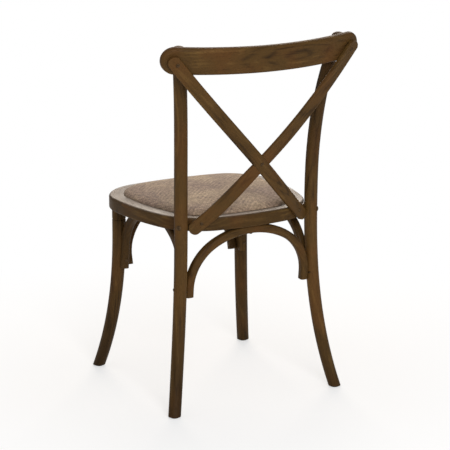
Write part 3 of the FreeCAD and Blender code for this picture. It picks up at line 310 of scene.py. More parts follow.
def stained_wood(name, run, seed, shade=1.0, warmth=0.5, foot=1.0, head=1.0, gloss=0.10, heart=None):
    """Open-pored wood under a thin lacquer: figure, growth bands, fibres, pores and uneven stain.

    Painted shade darkens the colour towards the floor to the foot's share of its tone, and towards the
    top to the head's. A heart is a point of the grain that long ellipses of growth go round. The full
    gloss shows on level faces.
    """
    finish = bpy.context.scene.chair_wood
    shader = Shader(name)
    place = object_place(shader)
    grain = run(shader, place)
    moved = shader.vector("ADD", grain, (seed * 0.731, seed * 0.377, seed * 0.519))

    def stretched(along, across, deep):
        return shader.vector("MULTIPLY", moved, (along, across, deep))

    # shade scales every colour of the piece: partly the piece's own tone, partly painted shade where it
    # sits in shade
    def toned_and_shaded(colour):
        return [part * shade for part in colour]

    figure = shader.noise(stretched(3.2, 42, 42), detail=3, distortion=0.5)
    contour = shader.noise(stretched(1.7, 15, 15), detail=1.5, distortion=0.25)
    if heart:
        apart = shader.vector("MULTIPLY", shader.vector("SUBTRACT", grain, heart), HEART_SQUEEZE)
        ellipse = shader.math("MINIMUM", shader.vector("LENGTH", apart), HEART_REACH)
        contour = shader.math("MULTIPLY_ADD", contour, HEART_WAVER, ellipse)
    bands = shader.math("PINGPONG", shader.math("MULTIPLY", contour, BANDS), 0.5)
    bands = shader.math("MULTIPLY", bands, 2.0)
    fibres = shader.noise(stretched(26, 900, 900), detail=3, roughness=0.6)
    streaks = shader.noise(stretched(9, 210, 210), detail=2)
    pores = shader.noise(stretched(130, 1900, 1900), detail=1)
    pores = shader.spread(pores, 0.60, 0.70)
    uneven = shader.noise(shader.vector("ADD", place, (seed, seed * 0.3, 0)), scale=11, detail=4)

    body = shader.math("MULTIPLY", figure, FIGURE_SHARE)
    body = shader.math("MULTIPLY_ADD", bands, BAND_SHARE, body)
    body = shader.math("MULTIPLY_ADD", streaks, STREAK_SHARE, body)
    body = shader.math("MULTIPLY_ADD", fibres, FIBRE_SHARE, body)
    ramp = shader.node("ShaderNodeValToRGB")
    stops = ((0.29, finish.dark), (0.47, finish.middle), (0.57, finish.middle), (0.76, finish.light))
    while len(ramp.color_ramp.elements) < len(stops):
        ramp.color_ramp.elements.new(0.5)
    for element, (position, colour) in zip(ramp.color_ramp.elements, stops):
        element.position = position
        element.color = (*toned_and_shaded(colour), 1)
    shader.join(body, ramp.inputs[0])
    red = shader.spread(uneven, 0.47, 0.66, 0.0, warmth)
    tinted = shader.mix(red, ramp.outputs[0], toned_and_shaded(finish.red))
    shaded = shader.mix(shader.spread(pores, 0, 1, 0, 0.55), tinted, toned_and_shaded(finish.dark))
    cloudy = shader.spread(uneven, 0.3, 0.7, 0.86, 1.12)
    # Painted shade: the colour darkens towards the floor and towards the top of a piece, by foot and
    # head
    level = shader.split(place)[2]
    painted_foot_shade = shader.spread(level, 0.0, FOOT_SHADE_END, foot, 1.0)
    painted_head_shade = shader.spread(level, HEAD_SHADE_START, HEAD_SHADE_END, 1.0, head)
    tone = shader.math("MULTIPLY", cloudy, shader.math("MULTIPLY", painted_foot_shade, painted_head_shade))
    surface = shader.surface.inputs
    shader.join(shader.scaled(shaded, tone), surface["Base Color"])
    lacquer = shader.spread(uneven, 0.3, 0.7, 0.44, 0.56)
    shader.join(shader.math("MULTIPLY_ADD", pores, 0.16, lacquer), surface["Roughness"])
    upward = shader.split(shader.node("ShaderNodeNewGeometry").outputs["Normal"])[2]
    shine = shader.spread(upward, 0.3, 0.9, min(gloss, UPRIGHT_GLOSS), gloss)
    shader.join(shine, surface["Specular IOR Level"])
    relief = shader.math("MULTIPLY_ADD", pores, -0.7, shader.math("MULTIPLY", fibres, 0.5))
    relief = shader.math("MULTIPLY_ADD", bands, 0.12, relief)
    shader.bump(relief, finish.relief)
    return shader.material


def clad(node, material):
    """Puts one material on every slot of a CAD node."""
    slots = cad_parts[node].material_slots
    for one in slots:
        one.material = material
    if not slots:
        raise RuntimeError(f"{node} has no material slot")


def stain(node, name, run, **tone):
    """Stained wood of its own figure and tone, with its painted shade, on a CAD node."""
    clad(node, stained_wood(name, run, **tone))


# Surfaces as whole arrays

def mesh_arrays(mesh):
    """The points and the edges of a mesh."""
    points = np.empty(len(mesh.vertices) * 3)
    mesh.vertices.foreach_get("co", points)
    edges = np.empty(len(mesh.edges) * 2, dtype=np.int64)
    mesh.edges.foreach_get("vertices", edges)
    return points.reshape(-1, 3), edges.reshape(-1, 2)


def part_labels(count, edges):
    """A label for each point: the lowest that it can reach along the edges, so one for each part."""
    label = np.arange(count)
    while True:
        lowest = np.minimum(label[edges[:, 0]], label[edges[:, 1]])
        before = label.copy()
        np.minimum.at(label, edges[:, 0], lowest)
        np.minimum.at(label, edges[:, 1], lowest)
        label = label[label]
        if np.array_equal(before, label):
            return label


def skin(name, points, material, uv=None):
    """A closed surface from rows of points, where each row is a ring and both ends shut at a pole.

    points has the shape (rows, around, 3). Each row joins the next by quads, and a fan joins each end
    row to the mean of its points. uv holds two numbers for each point.
    """
    rows, around, _ = points.shape
    corners = np.concatenate([points.reshape(-1, 3), points[[0, -1]].mean(axis=1)])
    index = np.arange(rows * around).reshape(rows, around)
    following = np.roll(index, -1, axis=1)
    quads = np.stack([index[:-1], following[:-1], following[1:], index[1:]], axis=-1)
    start = np.full(around, rows * around)
    caps = np.concatenate([
        np.stack([following[0], index[0], start], axis=-1),
        np.stack([index[-1], following[-1], start + 1], axis=-1),
    ])
    mesh = bpy.data.meshes.new(name)
    mesh.from_pydata(corners.tolist(), [], quads.reshape(-1, 4).tolist() + caps.tolist())
    if uv is not None:
        flat = np.concatenate([uv.reshape(-1, 2), uv[[0, -1]].mean(axis=1)])
        loops = np.empty(len(mesh.loops), dtype=np.int64)
        mesh.loops.foreach_get("vertex_index", loops)
        layer = mesh.uv_layers.new(name="weave")
        layer.data.foreach_set("uv", flat[loops].astype(np.float32).ravel())
    mesh.polygons.foreach_set("use_smooth", np.ones(len(mesh.polygons), dtype=bool))
    mesh.materials.append(material)
    made = bpy.data.objects.new(name, mesh)
    bpy.context.scene.collection.objects.link(made)
    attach(made, "root")
    return made


# Seat outline: the same tangent arcs as the ring, in millimetres. A bow is a centre and a radius

FRONT_BOW = (np.array([0.0, 449.6]), 700.0)
SIDE_BOW = (np.array([-377.3, -105.4]), 600.0)
REAR_BOW = (np.array([0.0, -428.4]), 600.0)
FRONT_CORNER = 125.0
REAR_CORNER = 135.0
RIM_WIDTH = 36.8
REAR_RIM_WIDTH = 27.3
PATH_SAMPLES = 40001

# The seat's rolled edge, its crown and the level of its hem, in millimetres
ROLL_WIDTH = 28.0
ROLL_RISE = 13.0
ROLL_TURN = math.radians(72)
CROWN_RISE = 11.0
CROWN_END = 0.02
HEM = 455.0


def corner_middle(first, first_reach, second, second_reach):
    """The point on the +X side at its own distance from each centre: where two circles cross."""
    apart = np.linalg.norm(second - first)
    along = (first_reach ** 2 - second_reach ** 2 + apart ** 2) / (2 * apart)
    aside = math.sqrt(first_reach ** 2 - along ** 2)
    axis = (second - first) / apart
    across = np.array([axis[1], -axis[0]])
    ends = [first + axis * along + across * aside * sign for sign in (1, -1)]
    return max(ends, key=lambda end: end[0])


def seat_outline(turns, inset):
    """Points of the outline moved inward, one for each direction of its outward normal.

    A point is its arc's centre plus the arc's radius, less the inset, times the unit normal. The arc is
    the one whose span of angles holds the normal, and the -X side mirrors the +X side.
    """
    front, side, rear = FRONT_BOW, SIDE_BOW, REAR_BOW
    edge = inset + RIM_WIDTH
    rear_edge = inset + REAR_RIM_WIDTH
    front_corner = corner_middle(front[0], front[1] - FRONT_CORNER, side[0], side[1] - FRONT_CORNER)
    rear_reach = rear[1] - rear_edge - (REAR_CORNER - edge)
    rear_corner = corner_middle(rear[0], rear_reach, side[0], side[1] - REAR_CORNER)
    centres = np.array([front[0], front_corner, side[0], rear_corner, rear[0]])
    radii = np.array([front[1], FRONT_CORNER, side[1], REAR_CORNER, rear[1]])
    radii -= np.array([edge, edge, edge, edge, rear_edge])

    def heading(start, end):
        return math.atan2(end[1] - start[1], end[0] - start[0])

    stops = np.array([
        heading(front[0], front_corner),
        heading(side[0], front_corner),
        heading(side[0], rear_corner),
        heading(rear[0], rear_corner),
    ])
    right = np.cos(turns) >= 0
    folded = np.arctan2(np.sin(turns), np.abs(np.cos(turns)))
    arc = np.searchsorted(stops, folded)
    x = centres[arc, 0] + radii[arc] * np.cos(folded)
    y = centres[arc, 1] + radii[arc] * np.sin(folded)
    return np.stack([np.where(right, x, -x), y], axis=-1)


def even_turns(count):
    """Normal directions that step evenly along the outline: the inverse of its running length."""
    dense = np.linspace(-math.pi, math.pi, PATH_SAMPLES)
    path = seat_outline(dense, ROLL_WIDTH / 2)
    length = np.concatenate([[0], np.cumsum(np.linalg.norm(np.diff(path, axis=0), axis=1))])
    return np.interp(np.linspace(0, length[-1], count, endpoint=False), length, dense)


def seat_dome(turns, shrink, bottom, roll_steps, crown_steps):
    """Rows of the dome from its bottom edge to its crown, with each point's place on the flat weave.

    The wall stands on the outline. The roll is most of a quarter of an ellipse that moves inward by its
    width and up by its rise. The crown scales the last row about the seat's middle and rises by its
    height times one less the scale squared. The flat place of a point is the roll's top row pushed out
    by the run of the weave to it. shrink moves the wall and the roll inward.
    """
    middle = np.array([0.0, SEAT_MIDDLE.y / MM])
    normal = np.stack([np.cos(turns), np.sin(turns)], axis=-1)
    rise = ROLL_RISE - shrink
    width = ROLL_WIDTH - shrink
    angle = np.linspace(0, ROLL_TURN, roll_steps)
    inward = shrink + width * (1 - np.cos(angle))
    upward = SEAT_HEIGHT / MM + rise * np.sin(angle)
    insets = np.concatenate([[shrink, shrink], inward])
    levels = np.concatenate([[bottom, (bottom + SEAT_HEIGHT / MM) / 2], upward])
    steps = np.hypot(np.diff(insets), np.diff(levels))
    pushed = np.concatenate([np.cumsum(steps[::-1])[::-1], [0]])
    top = seat_outline(turns, insets[-1])
    rows = [np.column_stack([seat_outline(turns, inset), np.full(len(turns), level)])
            for inset, level in zip(insets, levels)]
    flats = [top + normal * push for push in pushed]
    for scale in np.linspace(1, CROWN_END, crown_steps)[1:]:
        level = levels[-1] + CROWN_RISE * (1 - scale ** 2)
        plan = middle + (top - middle) * scale
        rows.append(np.column_stack([plan, np.full(len(turns), level)]))
        flats.append(plan)
    return np.array(rows), np.array(flats)


# Strands in a repeat of the twill, and how many of them lie over, less a half
TWILL_REPEAT = 4.0
TWILL_OVER = 1.5

# Keeps the dye of the strands that run one way apart from the others'
OTHER_WAY = 57.0

# How much of a hidden strand's round face still shows, and how much of the colour the soft patches make
CROSSING_SHARE = 0.35
PATCH_SHARE = 0.72
STRAND_RELIEF = 0.0007


def woven_rattan():
    """A fine twill that turns back on itself: round strands, shade between them, painted light and shade
    on the strands that lie over and under, and uneven dye.
    """
    weave = bpy.context.scene.chair_weave
    shader = Shader("woven_rattan")
    flat = shader.node("ShaderNodeUVMap", uv_map="weave").outputs[0]
    sway = shader.noise(flat, scale=0.035, detail=2)
    shift = shader.spread(sway, 0.3, 0.7, -0.8, 0.8)
    x, y, _ = shader.split(shader.vector("ADD", flat, shader.combine(shift, shift, 0.0)))
    column = shader.math("FLOOR", x)
    row = shader.math("FLOOR", y)
    folded = shader.math("PINGPONG", column, float(weave.run))
    step = shader.math("FLOORED_MODULO", shader.math("ADD", folded, row), TWILL_REPEAT)
    over = shader.math("LESS_THAN", step, TWILL_OVER)

    def face(part):
        """A strand's round top: one less the square of the way from its middle."""
        centred = shader.math("MULTIPLY_ADD", shader.math("FRACT", part), 2.0, -1.0)
        return shader.math("SUBTRACT", 1.0, shader.math("MULTIPLY", centred, centred))

    def chosen(first, second):
        """The first where its strand lies over, and the second elsewhere."""
        under = shader.math("SUBTRACT", 1.0, over)
        shown = shader.math("MULTIPLY", over, first)
        return shader.math("ADD", shown, shader.math("MULTIPLY", under, second))

    relief = chosen(face(x), face(y))
    crossing = chosen(face(y), face(x))
    relief = shader.math("MULTIPLY_ADD", crossing, CROSSING_SHARE, relief)
    tag = shader.combine(chosen(column, row), shader.math("MULTIPLY", over, OTHER_WAY), 0.0)
    dye = shader.node("ShaderNodeTexWhiteNoise", noise_dimensions="2D")
    shader.join(tag, dye.inputs["Vector"])
    speck = shader.noise(flat, scale=0.9, detail=3, roughness=0.7)
    squeezed = shader.vector("MULTIPLY", flat, (1.0, 0.55, 1.0))
    fleck = shader.noise(squeezed, scale=0.42, detail=4, roughness=0.75)
    patches = shader.spread(shader.noise(flat, scale=0.028, detail=3, roughness=0.55), 0.38, 0.62)
    dyed = shader.math("MULTIPLY", dye.outputs[0], 1 - PATCH_SHARE)
    blend = shader.math("MULTIPLY_ADD", patches, PATCH_SHARE, dyed)
    strands = shader.mix(blend, weave.warm, weave.cool)
    # Painted light and shade: strands that lie over are lighter and strands under are darker, so that
    # the twill's ribs show
    painted_rib_shade = shader.spread(over, 0, 1, 0.84, 1.08)
    level = shader.math("MULTIPLY", shader.spread(speck, 0.28, 0.72, 0.70, 1.28), painted_rib_shade)
    level = shader.math("MULTIPLY", level, shader.spread(fleck, 0.36, 0.64, 0.66, 1.30))
    specked = shader.scaled(strands, level)
    hollow = shader.spread(relief, 0.25, 0.75, 0.85, 0.0)
    surface = shader.surface.inputs
    shader.join(shader.mix(hollow, specked, weave.gap), surface["Base Color"])
    shader.join(shader.spread(speck, 0.3, 0.7, 0.62, 0.85), surface["Roughness"])
    surface["Specular IOR Level"].default_value = 0.15
    shader.bump(relief, STRAND_RELIEF, 0.9)
    return shader.material


OLD_FOAM = (0.62, 0.54, 0.36)
FRESH_FOAM = (0.70, 0.64, 0.48)


def foam():
    """Fine cells in a foam that has yellowed unevenly."""
    shader = Shader("seat_foam")
    place = object_place(shader)
    cells = shader.noise(place, scale=900, detail=3)
    aged = shader.noise(place, scale=14, detail=2)
    surface = shader.surface.inputs
    colour = shader.mix(shader.spread(aged, 0.3, 0.7), OLD_FOAM, FRESH_FOAM)
    shader.join(colour, surface["Base Color"])
    surface["Roughness"].default_value = 0.95
    shader.bump(cells, 0.0006)
    return shader.material


PLY = 0.0012
VENEER_LINE = (0.30, 0.19, 0.10)
VENEER = (0.46, 0.33, 0.20)
GLUE = (0.18, 0.10, 0.05)
VENEER_CLOUD = (0.27, 0.16, 0.08)


def layered_board():
    """Thin plies: level bands on the cut edge, a pale veneer with fine lines on the faces."""
    shader = Shader("seat_plywood")
    place = object_place(shader)
    level = shader.split(place)[2]
    ply = shader.math("PINGPONG", shader.math("MULTIPLY", level, 1 / PLY), 1.0)
    lines = shader.noise(shader.vector("MULTIPLY", place, (18, 420, 60)), detail=3)
    cloud = shader.noise(shader.vector("MULTIPLY", place, (4, 30, 10)), detail=3)
    surface = shader.surface.inputs
    pale = shader.mix(shader.spread(lines, 0.3, 0.7), VENEER_LINE, VENEER)
    banded = shader.mix(shader.spread(ply, 0.6, 0.9, 0.0, 0.35), pale, GLUE)
    clouded = shader.mix(shader.spread(cloud, 0.4, 0.7, 0.0, 0.3), banded, VENEER_CLOUD)
    shader.join(clouded, surface["Base Color"])
    surface["Roughness"].default_value = 0.72
    shader.bump(lines, 0.0003)
    return shader.material


BLACKED_STEEL = (0.058, 0.035, 0.018)
BROWNED_STEEL = (0.110, 0.070, 0.038)


def dark_steel():
    """Blackened steel that has browned in patches, with fine scratches."""
    shader = Shader("dark_screw_steel")
    place = object_place(shader)
    scratch = shader.noise(shader.vector("MULTIPLY", place, (900, 900, 260)), detail=3)
    patina = shader.noise(place, scale=240, detail=2)
    surface = shader.surface.inputs
    colour = shader.mix(shader.spread(patina, 0.35, 0.65), BLACKED_STEEL, BROWNED_STEEL)
    shader.join(colour, surface["Base Color"])
    shader.join(shader.spread(scratch, 0.3, 0.7, 0.42, 0.60), surface["Roughness"])
    surface["Metallic"].default_value = 1.0
    shader.bump(scratch, 0.00006)
    return shader.material


BLACK_PLASTIC = (0.022, 0.019, 0.017)
SCUFFED_PLASTIC = (0.085, 0.075, 0.065)


def moulded_glide():
    """Black plastic with a fine grain, scuffed grey where it has slid over floors."""
    shader = Shader("moulded_glide")
    place = object_place(shader)
    grainy = shader.noise(place, scale=1400, detail=2)
    scuffs = shader.noise(place, scale=170, detail=4)
    surface = shader.surface.inputs
    colour = shader.mix(shader.spread(scuffs, 0.5, 0.75), BLACK_PLASTIC, SCUFFED_PLASTIC)
    shader.join(colour, surface["Base Color"])
    shader.join(shader.spread(scuffs, 0.3, 0.7, 0.45, 0.7), surface["Roughness"])
    shader.bump(grainy, 0.00015)
    return shader.material


# Screws, placed from the CAD's own

# Shares of a screw's length that count as an end and as its shank, and of its widest radius as its head
END_SHARE = 0.25
SHANK_SHARE = 0.3
WIDE_SHARE = 0.9


def screw_seats(node):
    """Head end, way in, head radius, length, head height and shank radius of each solid of a node.

    Points at one place count as one, so that each solid is one part. Its long axis is the longest side
    of its points' spread, with the head at the wider end.
    """
    points, edges = mesh_arrays(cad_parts[node].data)
    keys, merged = np.unique(np.round(points, 6), axis=0, return_inverse=True)
    label = part_labels(len(keys), merged.ravel()[edges])
    seats = []
    for one in np.unique(label):
        cloud = keys[label == one]
        low, high = cloud.min(axis=0), cloud.max(axis=0)
        middle = (low + high) / 2
        axis = np.linalg.svd(cloud - cloud.mean(axis=0), full_matrices=False)[2][0]
        along = (cloud - middle) @ axis
        out = np.linalg.norm((cloud - middle) - np.outer(along, axis), axis=1)
        length = np.ptp(along)
        far_end = out[along > along.max() - END_SHARE * length].max()
        near_end = out[along < along.min() + END_SHARE * length].max()
        if far_end < near_end:
            axis, along = -axis, -along
        wide = out > WIDE_SHARE * out.max()
        line = cloud[wide].mean(axis=0)
        seats.append({
            "line": line - axis * ((line - middle) @ axis) + axis * along.max(),
            "in": -axis,
            "head": out.max(),
            "length": length,
            "rim": along.max() - along[wide].min(),
            "shank": np.median(out[along < along.min() + SHANK_SHARE * length]),
        })
    return seats


HEAD_RINGS = 12
HEAD_AROUND = 64

# A tip as shares of the shank's radius: its end, the end of its slope, and how far up it is full
TIP_END = 0.35
TIP_SLOPE = 0.9
TIP_LENGTH = 1.6

# A head as shares of its radius, and its upright edge as a share of its height
HEAD_UNDERSIDE = 0.97
HEAD_EDGE = 0.14
HEAD_MIDDLE = 0.03

# A slot as shares of the head's radius, and its depth as a share of the head's height
SLOT_HALF = 0.16
SLOT_WALL = 0.07
SLOT_REACH = 0.66
SLOT_RUNOUT = 0.2
SLOT_DEPTH = 0.55


def turned_screw(seat):
    """Rows of one screw: tip, shank, the flat under the head and the domed head with a crossed slot.

    The head's height over a radius is an ellipse on an upright edge. The slot sinks where the smaller of
    the two sideways distances is short, with sloping walls, and runs out towards the head's edge.
    """
    head, rim, shank, length = (seat[key] for key in ("head", "rim", "shank", "length"))
    turns = np.linspace(0, 2 * math.pi, HEAD_AROUND, endpoint=False)
    full = TIP_LENGTH * shank - length
    stem_radii = [shank * TIP_END, shank * TIP_SLOPE, shank, shank, head * HEAD_UNDERSIDE, head]
    stem_levels = [-length, shank - length, full, -rim, -rim, rim * (HEAD_EDGE - 1)]
    share = np.linspace(1, HEAD_MIDDLE, HEAD_RINGS)[1:]
    dome = HEAD_EDGE + (1 - HEAD_EDGE) * np.sqrt(1 - share ** 2)
    radii = np.concatenate([stem_radii, head * share])
    levels = np.concatenate([stem_levels, rim * dome - rim])
    radius, turn = np.meshgrid(radii, turns, indexing="ij")
    level = np.repeat(levels[:, None], HEAD_AROUND, axis=1)
    sideways = np.minimum(np.abs(radius * np.cos(turn)), np.abs(radius * np.sin(turn)))
    narrow = np.clip((head * SLOT_HALF - sideways) / (head * SLOT_WALL), 0, 1)
    within = np.clip((head * SLOT_REACH - radius) / (head * SLOT_RUNOUT), 0, 1)
    domed = np.arange(len(radii))[:, None] >= len(stem_radii)
    level = level - domed * rim * SLOT_DEPTH * narrow * within
    way = Vector(seat["in"]) * -1
    side = way.orthogonal().normalized()
    other = way.cross(side)
    points = np.array(seat["line"]) + radius[..., None] * (
        np.cos(turn)[..., None] * np.array(side) + np.sin(turn)[..., None] * np.array(other))
    return points + level[..., None] * np.array(way)


def turned_screws(node, name, steel):
    """All the screws of a node as one object that stands for it."""
    made = None
    for number, seat in enumerate(screw_seats(node)):
        piece = skin(f"{name}_{number}", turned_screw(seat), steel)
        made = piece if made is None else join_into(made, piece)
    made.name = name
    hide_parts(node)


# The line turned round the top of a front leg, in metres: a groove of a round section
LINE_LEVEL = 0.391
LINE_ROUND = 0.002
LINE_DEPTH = 0.0012
LINE_CUTS = 17

# A front leg at that line, and the share of its radius past which a point lies on its outer face
LEG_AXIS = (0.174, -0.1914)
LEG_RADIUS = 0.017
OUTER_SHARE = 0.9

# The stray ring that the solid of a front leg carries, and how far off it is still looked for
STRAY_LEVEL = 0.422
STRAY_SLACK = 0.0002

# Distances at which points are one and a cut takes a point, and the angle where an edge turns sharp
WELD = 1e-6
CUT_SLACK = 1e-7
CREASE = 0.6


def lined_leg(node, name, axis, material):
    """A front leg with the line turned round it: the solid's own surface with a round groove in it.

    The solid carries a stray ring under the seat, which stands out past the leg, and the part with that
    ring goes. Level cuts give the surface rows. Their points move along the leg's radius to the groove's
    round section: the reach of its middle less the square root of its radius squared less the drop
    squared. Sharp edges are marked before that, so the rims of the groove stay soft.
    """
    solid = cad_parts[node].data
    points, edges = mesh_arrays(solid)
    label = part_labels(len(points), edges)
    outside = np.hypot(*(points[:, :2] - axis).T) > LEG_RADIUS + STRAY_SLACK
    beside = np.abs(points[:, 2] - STRAY_LEVEL) < LINE_ROUND + STRAY_SLACK
    stray = np.flatnonzero(np.isin(label, label[outside & beside]))

    shape = bmesh.new()
    shape.from_mesh(solid)
    shape.verts.ensure_lookup_table()
    bmesh.ops.delete(shape, geom=[shape.verts[one] for one in stray.tolist()], context="VERTS")
    bmesh.ops.remove_doubles(shape, verts=shape.verts, dist=WELD)
    middle = LEG_RADIUS + LINE_ROUND - LINE_DEPTH
    half = math.sqrt(LINE_ROUND ** 2 - (middle - LEG_RADIUS) ** 2)
    for drop in np.linspace(-half, half, LINE_CUTS):
        parts = list(shape.verts) + list(shape.edges) + list(shape.faces)
        level = (0, 0, LINE_LEVEL + drop)
        bmesh.ops.bisect_plane(shape, geom=parts, dist=CUT_SLACK, plane_co=level, plane_no=(0, 0, 1))
    mesh = bpy.data.meshes.new(name)
    shape.to_mesh(mesh)
    shape.free()
    if "custom_normal" in mesh.attributes:
        mesh.attributes.remove(mesh.attributes["custom_normal"])
    mesh.set_sharp_from_angle(angle=CREASE)

    points, _ = mesh_arrays(mesh)
    drop = points[:, 2] - LINE_LEVEL
    offset = points[:, :2] - axis
    reach = np.hypot(offset[:, 0], offset[:, 1])
    pressed = (np.abs(drop) < half) & (reach > OUTER_SHARE * LEG_RADIUS)
    section = middle - np.sqrt(LINE_ROUND ** 2 - drop[pressed] ** 2)
    points[pressed, :2] = axis + offset[pressed] * (section / reach[pressed])[:, None]
    mesh.vertices.foreach_set("co", points.ravel())
    mesh.polygons.foreach_set("use_smooth", np.ones(len(mesh.polygons), dtype=bool))
    mesh.polygons.foreach_set("material_index", np.zeros(len(mesh.polygons), dtype=np.int32))
    mesh.update()
    mesh.materials.append(material)
    made = bpy.data.objects.new(name, mesh)
    bpy.context.scene.collection.objects.link(made)
    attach(made, "root")
    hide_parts(node)


def join_into(first, second):
    """The second object's mesh added to the first's."""
    with bpy.context.temp_override(active_object=first, selected_editable_objects=[first, second]):
        bpy.ops.object.join()
    return first


# Pieces

class Piece(bpy.types.Operator):
    """A step that makes or dresses pieces of the chair."""
    bl_options = {"REGISTER", "UNDO"}


class CHAIR_OT_legs(Piece):
    """Stain the back posts, the front legs and the spacers, and turn a line round each front leg"""
    bl_idname = "chair.legs"
    bl_label = "Posts and legs"

    def execute(self, context):
        post = grain_upright(level=0.46, bow=(0.21, 0.28))
        leg = grain_upright(level=0.40, bow=(0.235, -0.325))
        # foot and head set the painted shade that darkens each piece towards the floor and towards its
        # top
        stain("left_back_post", "left_post_wood", post, seed=1.3, warmth=0.40, foot=0.42, head=0.86)
        stain("right_back_post", "right_post_wood", post, seed=4.1, shade=1.1, foot=0.50, head=0.58)
        left_wood = stained_wood("left_leg_wood", leg, seed=6.6, shade=0.84, warmth=0.35, foot=0.48)
        right_wood = stained_wood("right_leg_wood", leg, seed=9.2, shade=0.82, warmth=0.35, foot=0.70)
        x, y = LEG_AXIS
        lined_leg("left_front_leg", "left_turned_leg", (x, y), left_wood)
        lined_leg("right_front_leg", "right_turned_leg", (-x, y), right_wood)
        stain("post_spacers", "spacer_wood", post, seed=2.7, shade=0.72)
        return {"FINISHED"}


# The middle of the growth ellipses on the crest rail, as (along, across, deep)
CREST_HEART = (-0.075, 0.842, 0.0)


class CHAIR_OT_crest(Piece):
    """Stain the crest rail, with the grain running round its bow"""
    bl_idname = "chair.crest"
    bl_label = "Crest rail"

    def execute(self, context):
        bend = grain_level(bow_radius=0.76)
        stain("crest_rail", "crest_wood", bend, seed=3.4, shade=0.92, heart=CREST_HEART)
        return {"FINISHED"}


class CHAIR_OT_slats(Piece):
    """Stain the two crossed slats, each along its own slant"""
    bl_idname = "chair.slats"
    bl_label = "Crossed slats"

    def execute(self, context):
        stain("left_cross_slat", "left_slat_wood", grain_slanted(1), seed=5.8, shade=0.94, warmth=0.55)
        stain("right_cross_slat", "right_slat_wood", grain_slanted(-1), seed=7.3, shade=0.92)
        return {"FINISHED"}


class CHAIR_OT_ring(Piece):
    """Stain the two halves of the seat ring, with the grain running round it"""
    bl_idname = "chair.ring"
    bl_label = "Seat ring"

    def execute(self, context):
        bend = grain_round(SEAT_MIDDLE)
        # The ring's low shade is partly painted shade, which darkens its wall beyond the wood's own tone
        stain("seat_ring_front", "front_ring_wood", bend, seed=8.5, shade=0.70, warmth=0.40, gloss=0.24)
        stain("seat_ring_rear", "rear_ring_wood", bend, seed=2.2, shade=0.74, warmth=0.55, gloss=0.40)
        return {"FINISHED"}


class CHAIR_OT_hoops(Piece):
    """Stain the four bent hoops under the seat"""
    bl_idname = "chair.hoops"
    bl_label = "Bracing hoops"

    def execute(self, context):
        rear = grain_arch(sideways=False, middle=0.0, flat=0.0375, springing=0.293, lean=0.105)
        front = grain_arch(sideways=False, middle=0.0, flat=0.034, springing=0.290, lean=-0.24)
        flank = grain_arch(sideways=True, middle=-0.024, flat=0.040, springing=0.318, lean=0.0)
        stain("rear_hoop", "rear_hoop_wood", rear, seed=1.9, shade=0.86)
        stain("front_hoop", "front_hoop_wood", front, seed=3.9, shade=0.70, warmth=0.4)
        stain("left_hoop", "left_hoop_wood", flank, seed=5.2, shade=0.74, warmth=0.35)
        stain("right_hoop", "right_hoop_wood", flank, seed=7.7, shade=0.74, warmth=0.45)
        return {"FINISHED"}


# The cover and the padding, in millimetres, and the slow swell of a face that is woven by hand
COVER_AROUND = 720
COVER_WALL = 2.4
PADDING_AROUND = 180
PADDING_INSET = 3.0
SWELL_HEIGHT = 0.35
SWELL_LENGTHS = (31, 27)
SWELL_STARTS = (0.8, -0.4)
SWELL_CLEAR = 1


class CHAIR_OT_cover(Piece):
    """Weave the crowned cover over the seat, from its hem inside the rebate to its middle"""
    bl_idname = "chair.cover"
    bl_label = "Woven cover"

    def execute(self, context):
        turns = even_turns(COVER_AROUND)
        outer, flat = seat_dome(turns, shrink=0.0, bottom=HEM, roll_steps=16, crown_steps=34)
        inner, inner_flat = seat_dome(turns, shrink=COVER_WALL, bottom=HEM, roll_steps=8, crown_steps=8)
        waves = np.sin(outer[..., :2] / SWELL_LENGTHS + SWELL_STARTS)
        swell = SWELL_HEIGHT * waves[..., 0] * waves[..., 1]
        outer[..., 2] += swell * (outer[..., 2] > SEAT_HEIGHT / MM + SWELL_CLEAR)
        points = np.concatenate([inner[::-1], outer]) * MM
        strand = context.scene.chair_weave.strand / MM
        places = np.concatenate([inner_flat[::-1], flat]) / strand
        cover = skin("woven_cover", points, woven_rattan(), uv=places)
        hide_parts("woven_seat_cover")
        return {"FINISHED"}


class CHAIR_OT_padding(Piece):
    """Shape the foam dome inside the cover"""
    bl_idname = "chair.padding"
    bl_label = "Seat padding"

    def execute(self, context):
        turns = even_turns(PADDING_AROUND)
        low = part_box("seat_padding")[0]
        rows = seat_dome(turns, PADDING_INSET, bottom=low[2] / MM, roll_steps=8, crown_steps=12)[0]
        padding = skin("foam_dome", rows * MM, foam())
        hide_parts("seat_padding")
        return {"FINISHED"}


class CHAIR_OT_board(Piece):
    """Put plies and veneer on the seat board"""
    bl_idname = "chair.board"
    bl_label = "Seat board"

    def execute(self, context):
        clad("seat_board", layered_board())
        return {"FINISHED"}


SCREW_NODES = (
    "slat_top_screws",
    "slat_foot_screws",
    "cross_screw",
    "crest_screws",
    "post_bolts",
    "rear_hoop_screws",
    "hoop_screws",
    "hoop_crown_screws",
    "seat_board_screws",
)


class CHAIR_OT_screws(Piece):
    """Turn every screw and bolt with a domed head and a crossed slot, and darken the nuts"""
    bl_idname = "chair.screws"
    bl_label = "Screws and nuts"

    def execute(self, context):
        steel = dark_steel()
        for node in SCREW_NODES:
            turned_screws(node, "turned_" + node, steel)
        clad("post_bolt_nuts", steel)
        return {"FINISHED"}


class CHAIR_OT_glides(Piece):
    """Put scuffed plastic on the foot glides"""
    bl_idname = "chair.glides"
    bl_label = "Foot glides"

    def execute(self, context):
        clad("foot_glides", moulded_glide())
        return {"FINISHED"}


# Studio

# The camera: the point it looks at, the unit way back from there, its distance and its lens in pixels
AIM = Vector((0.0, 0.0606, 0.440))
BACK = Vector((0.4798, 0.8425, 0.2448))
REACH = 4.488
FOCAL_PIXELS = 1868.0
SENSOR = 36.0
SIGHT = 50

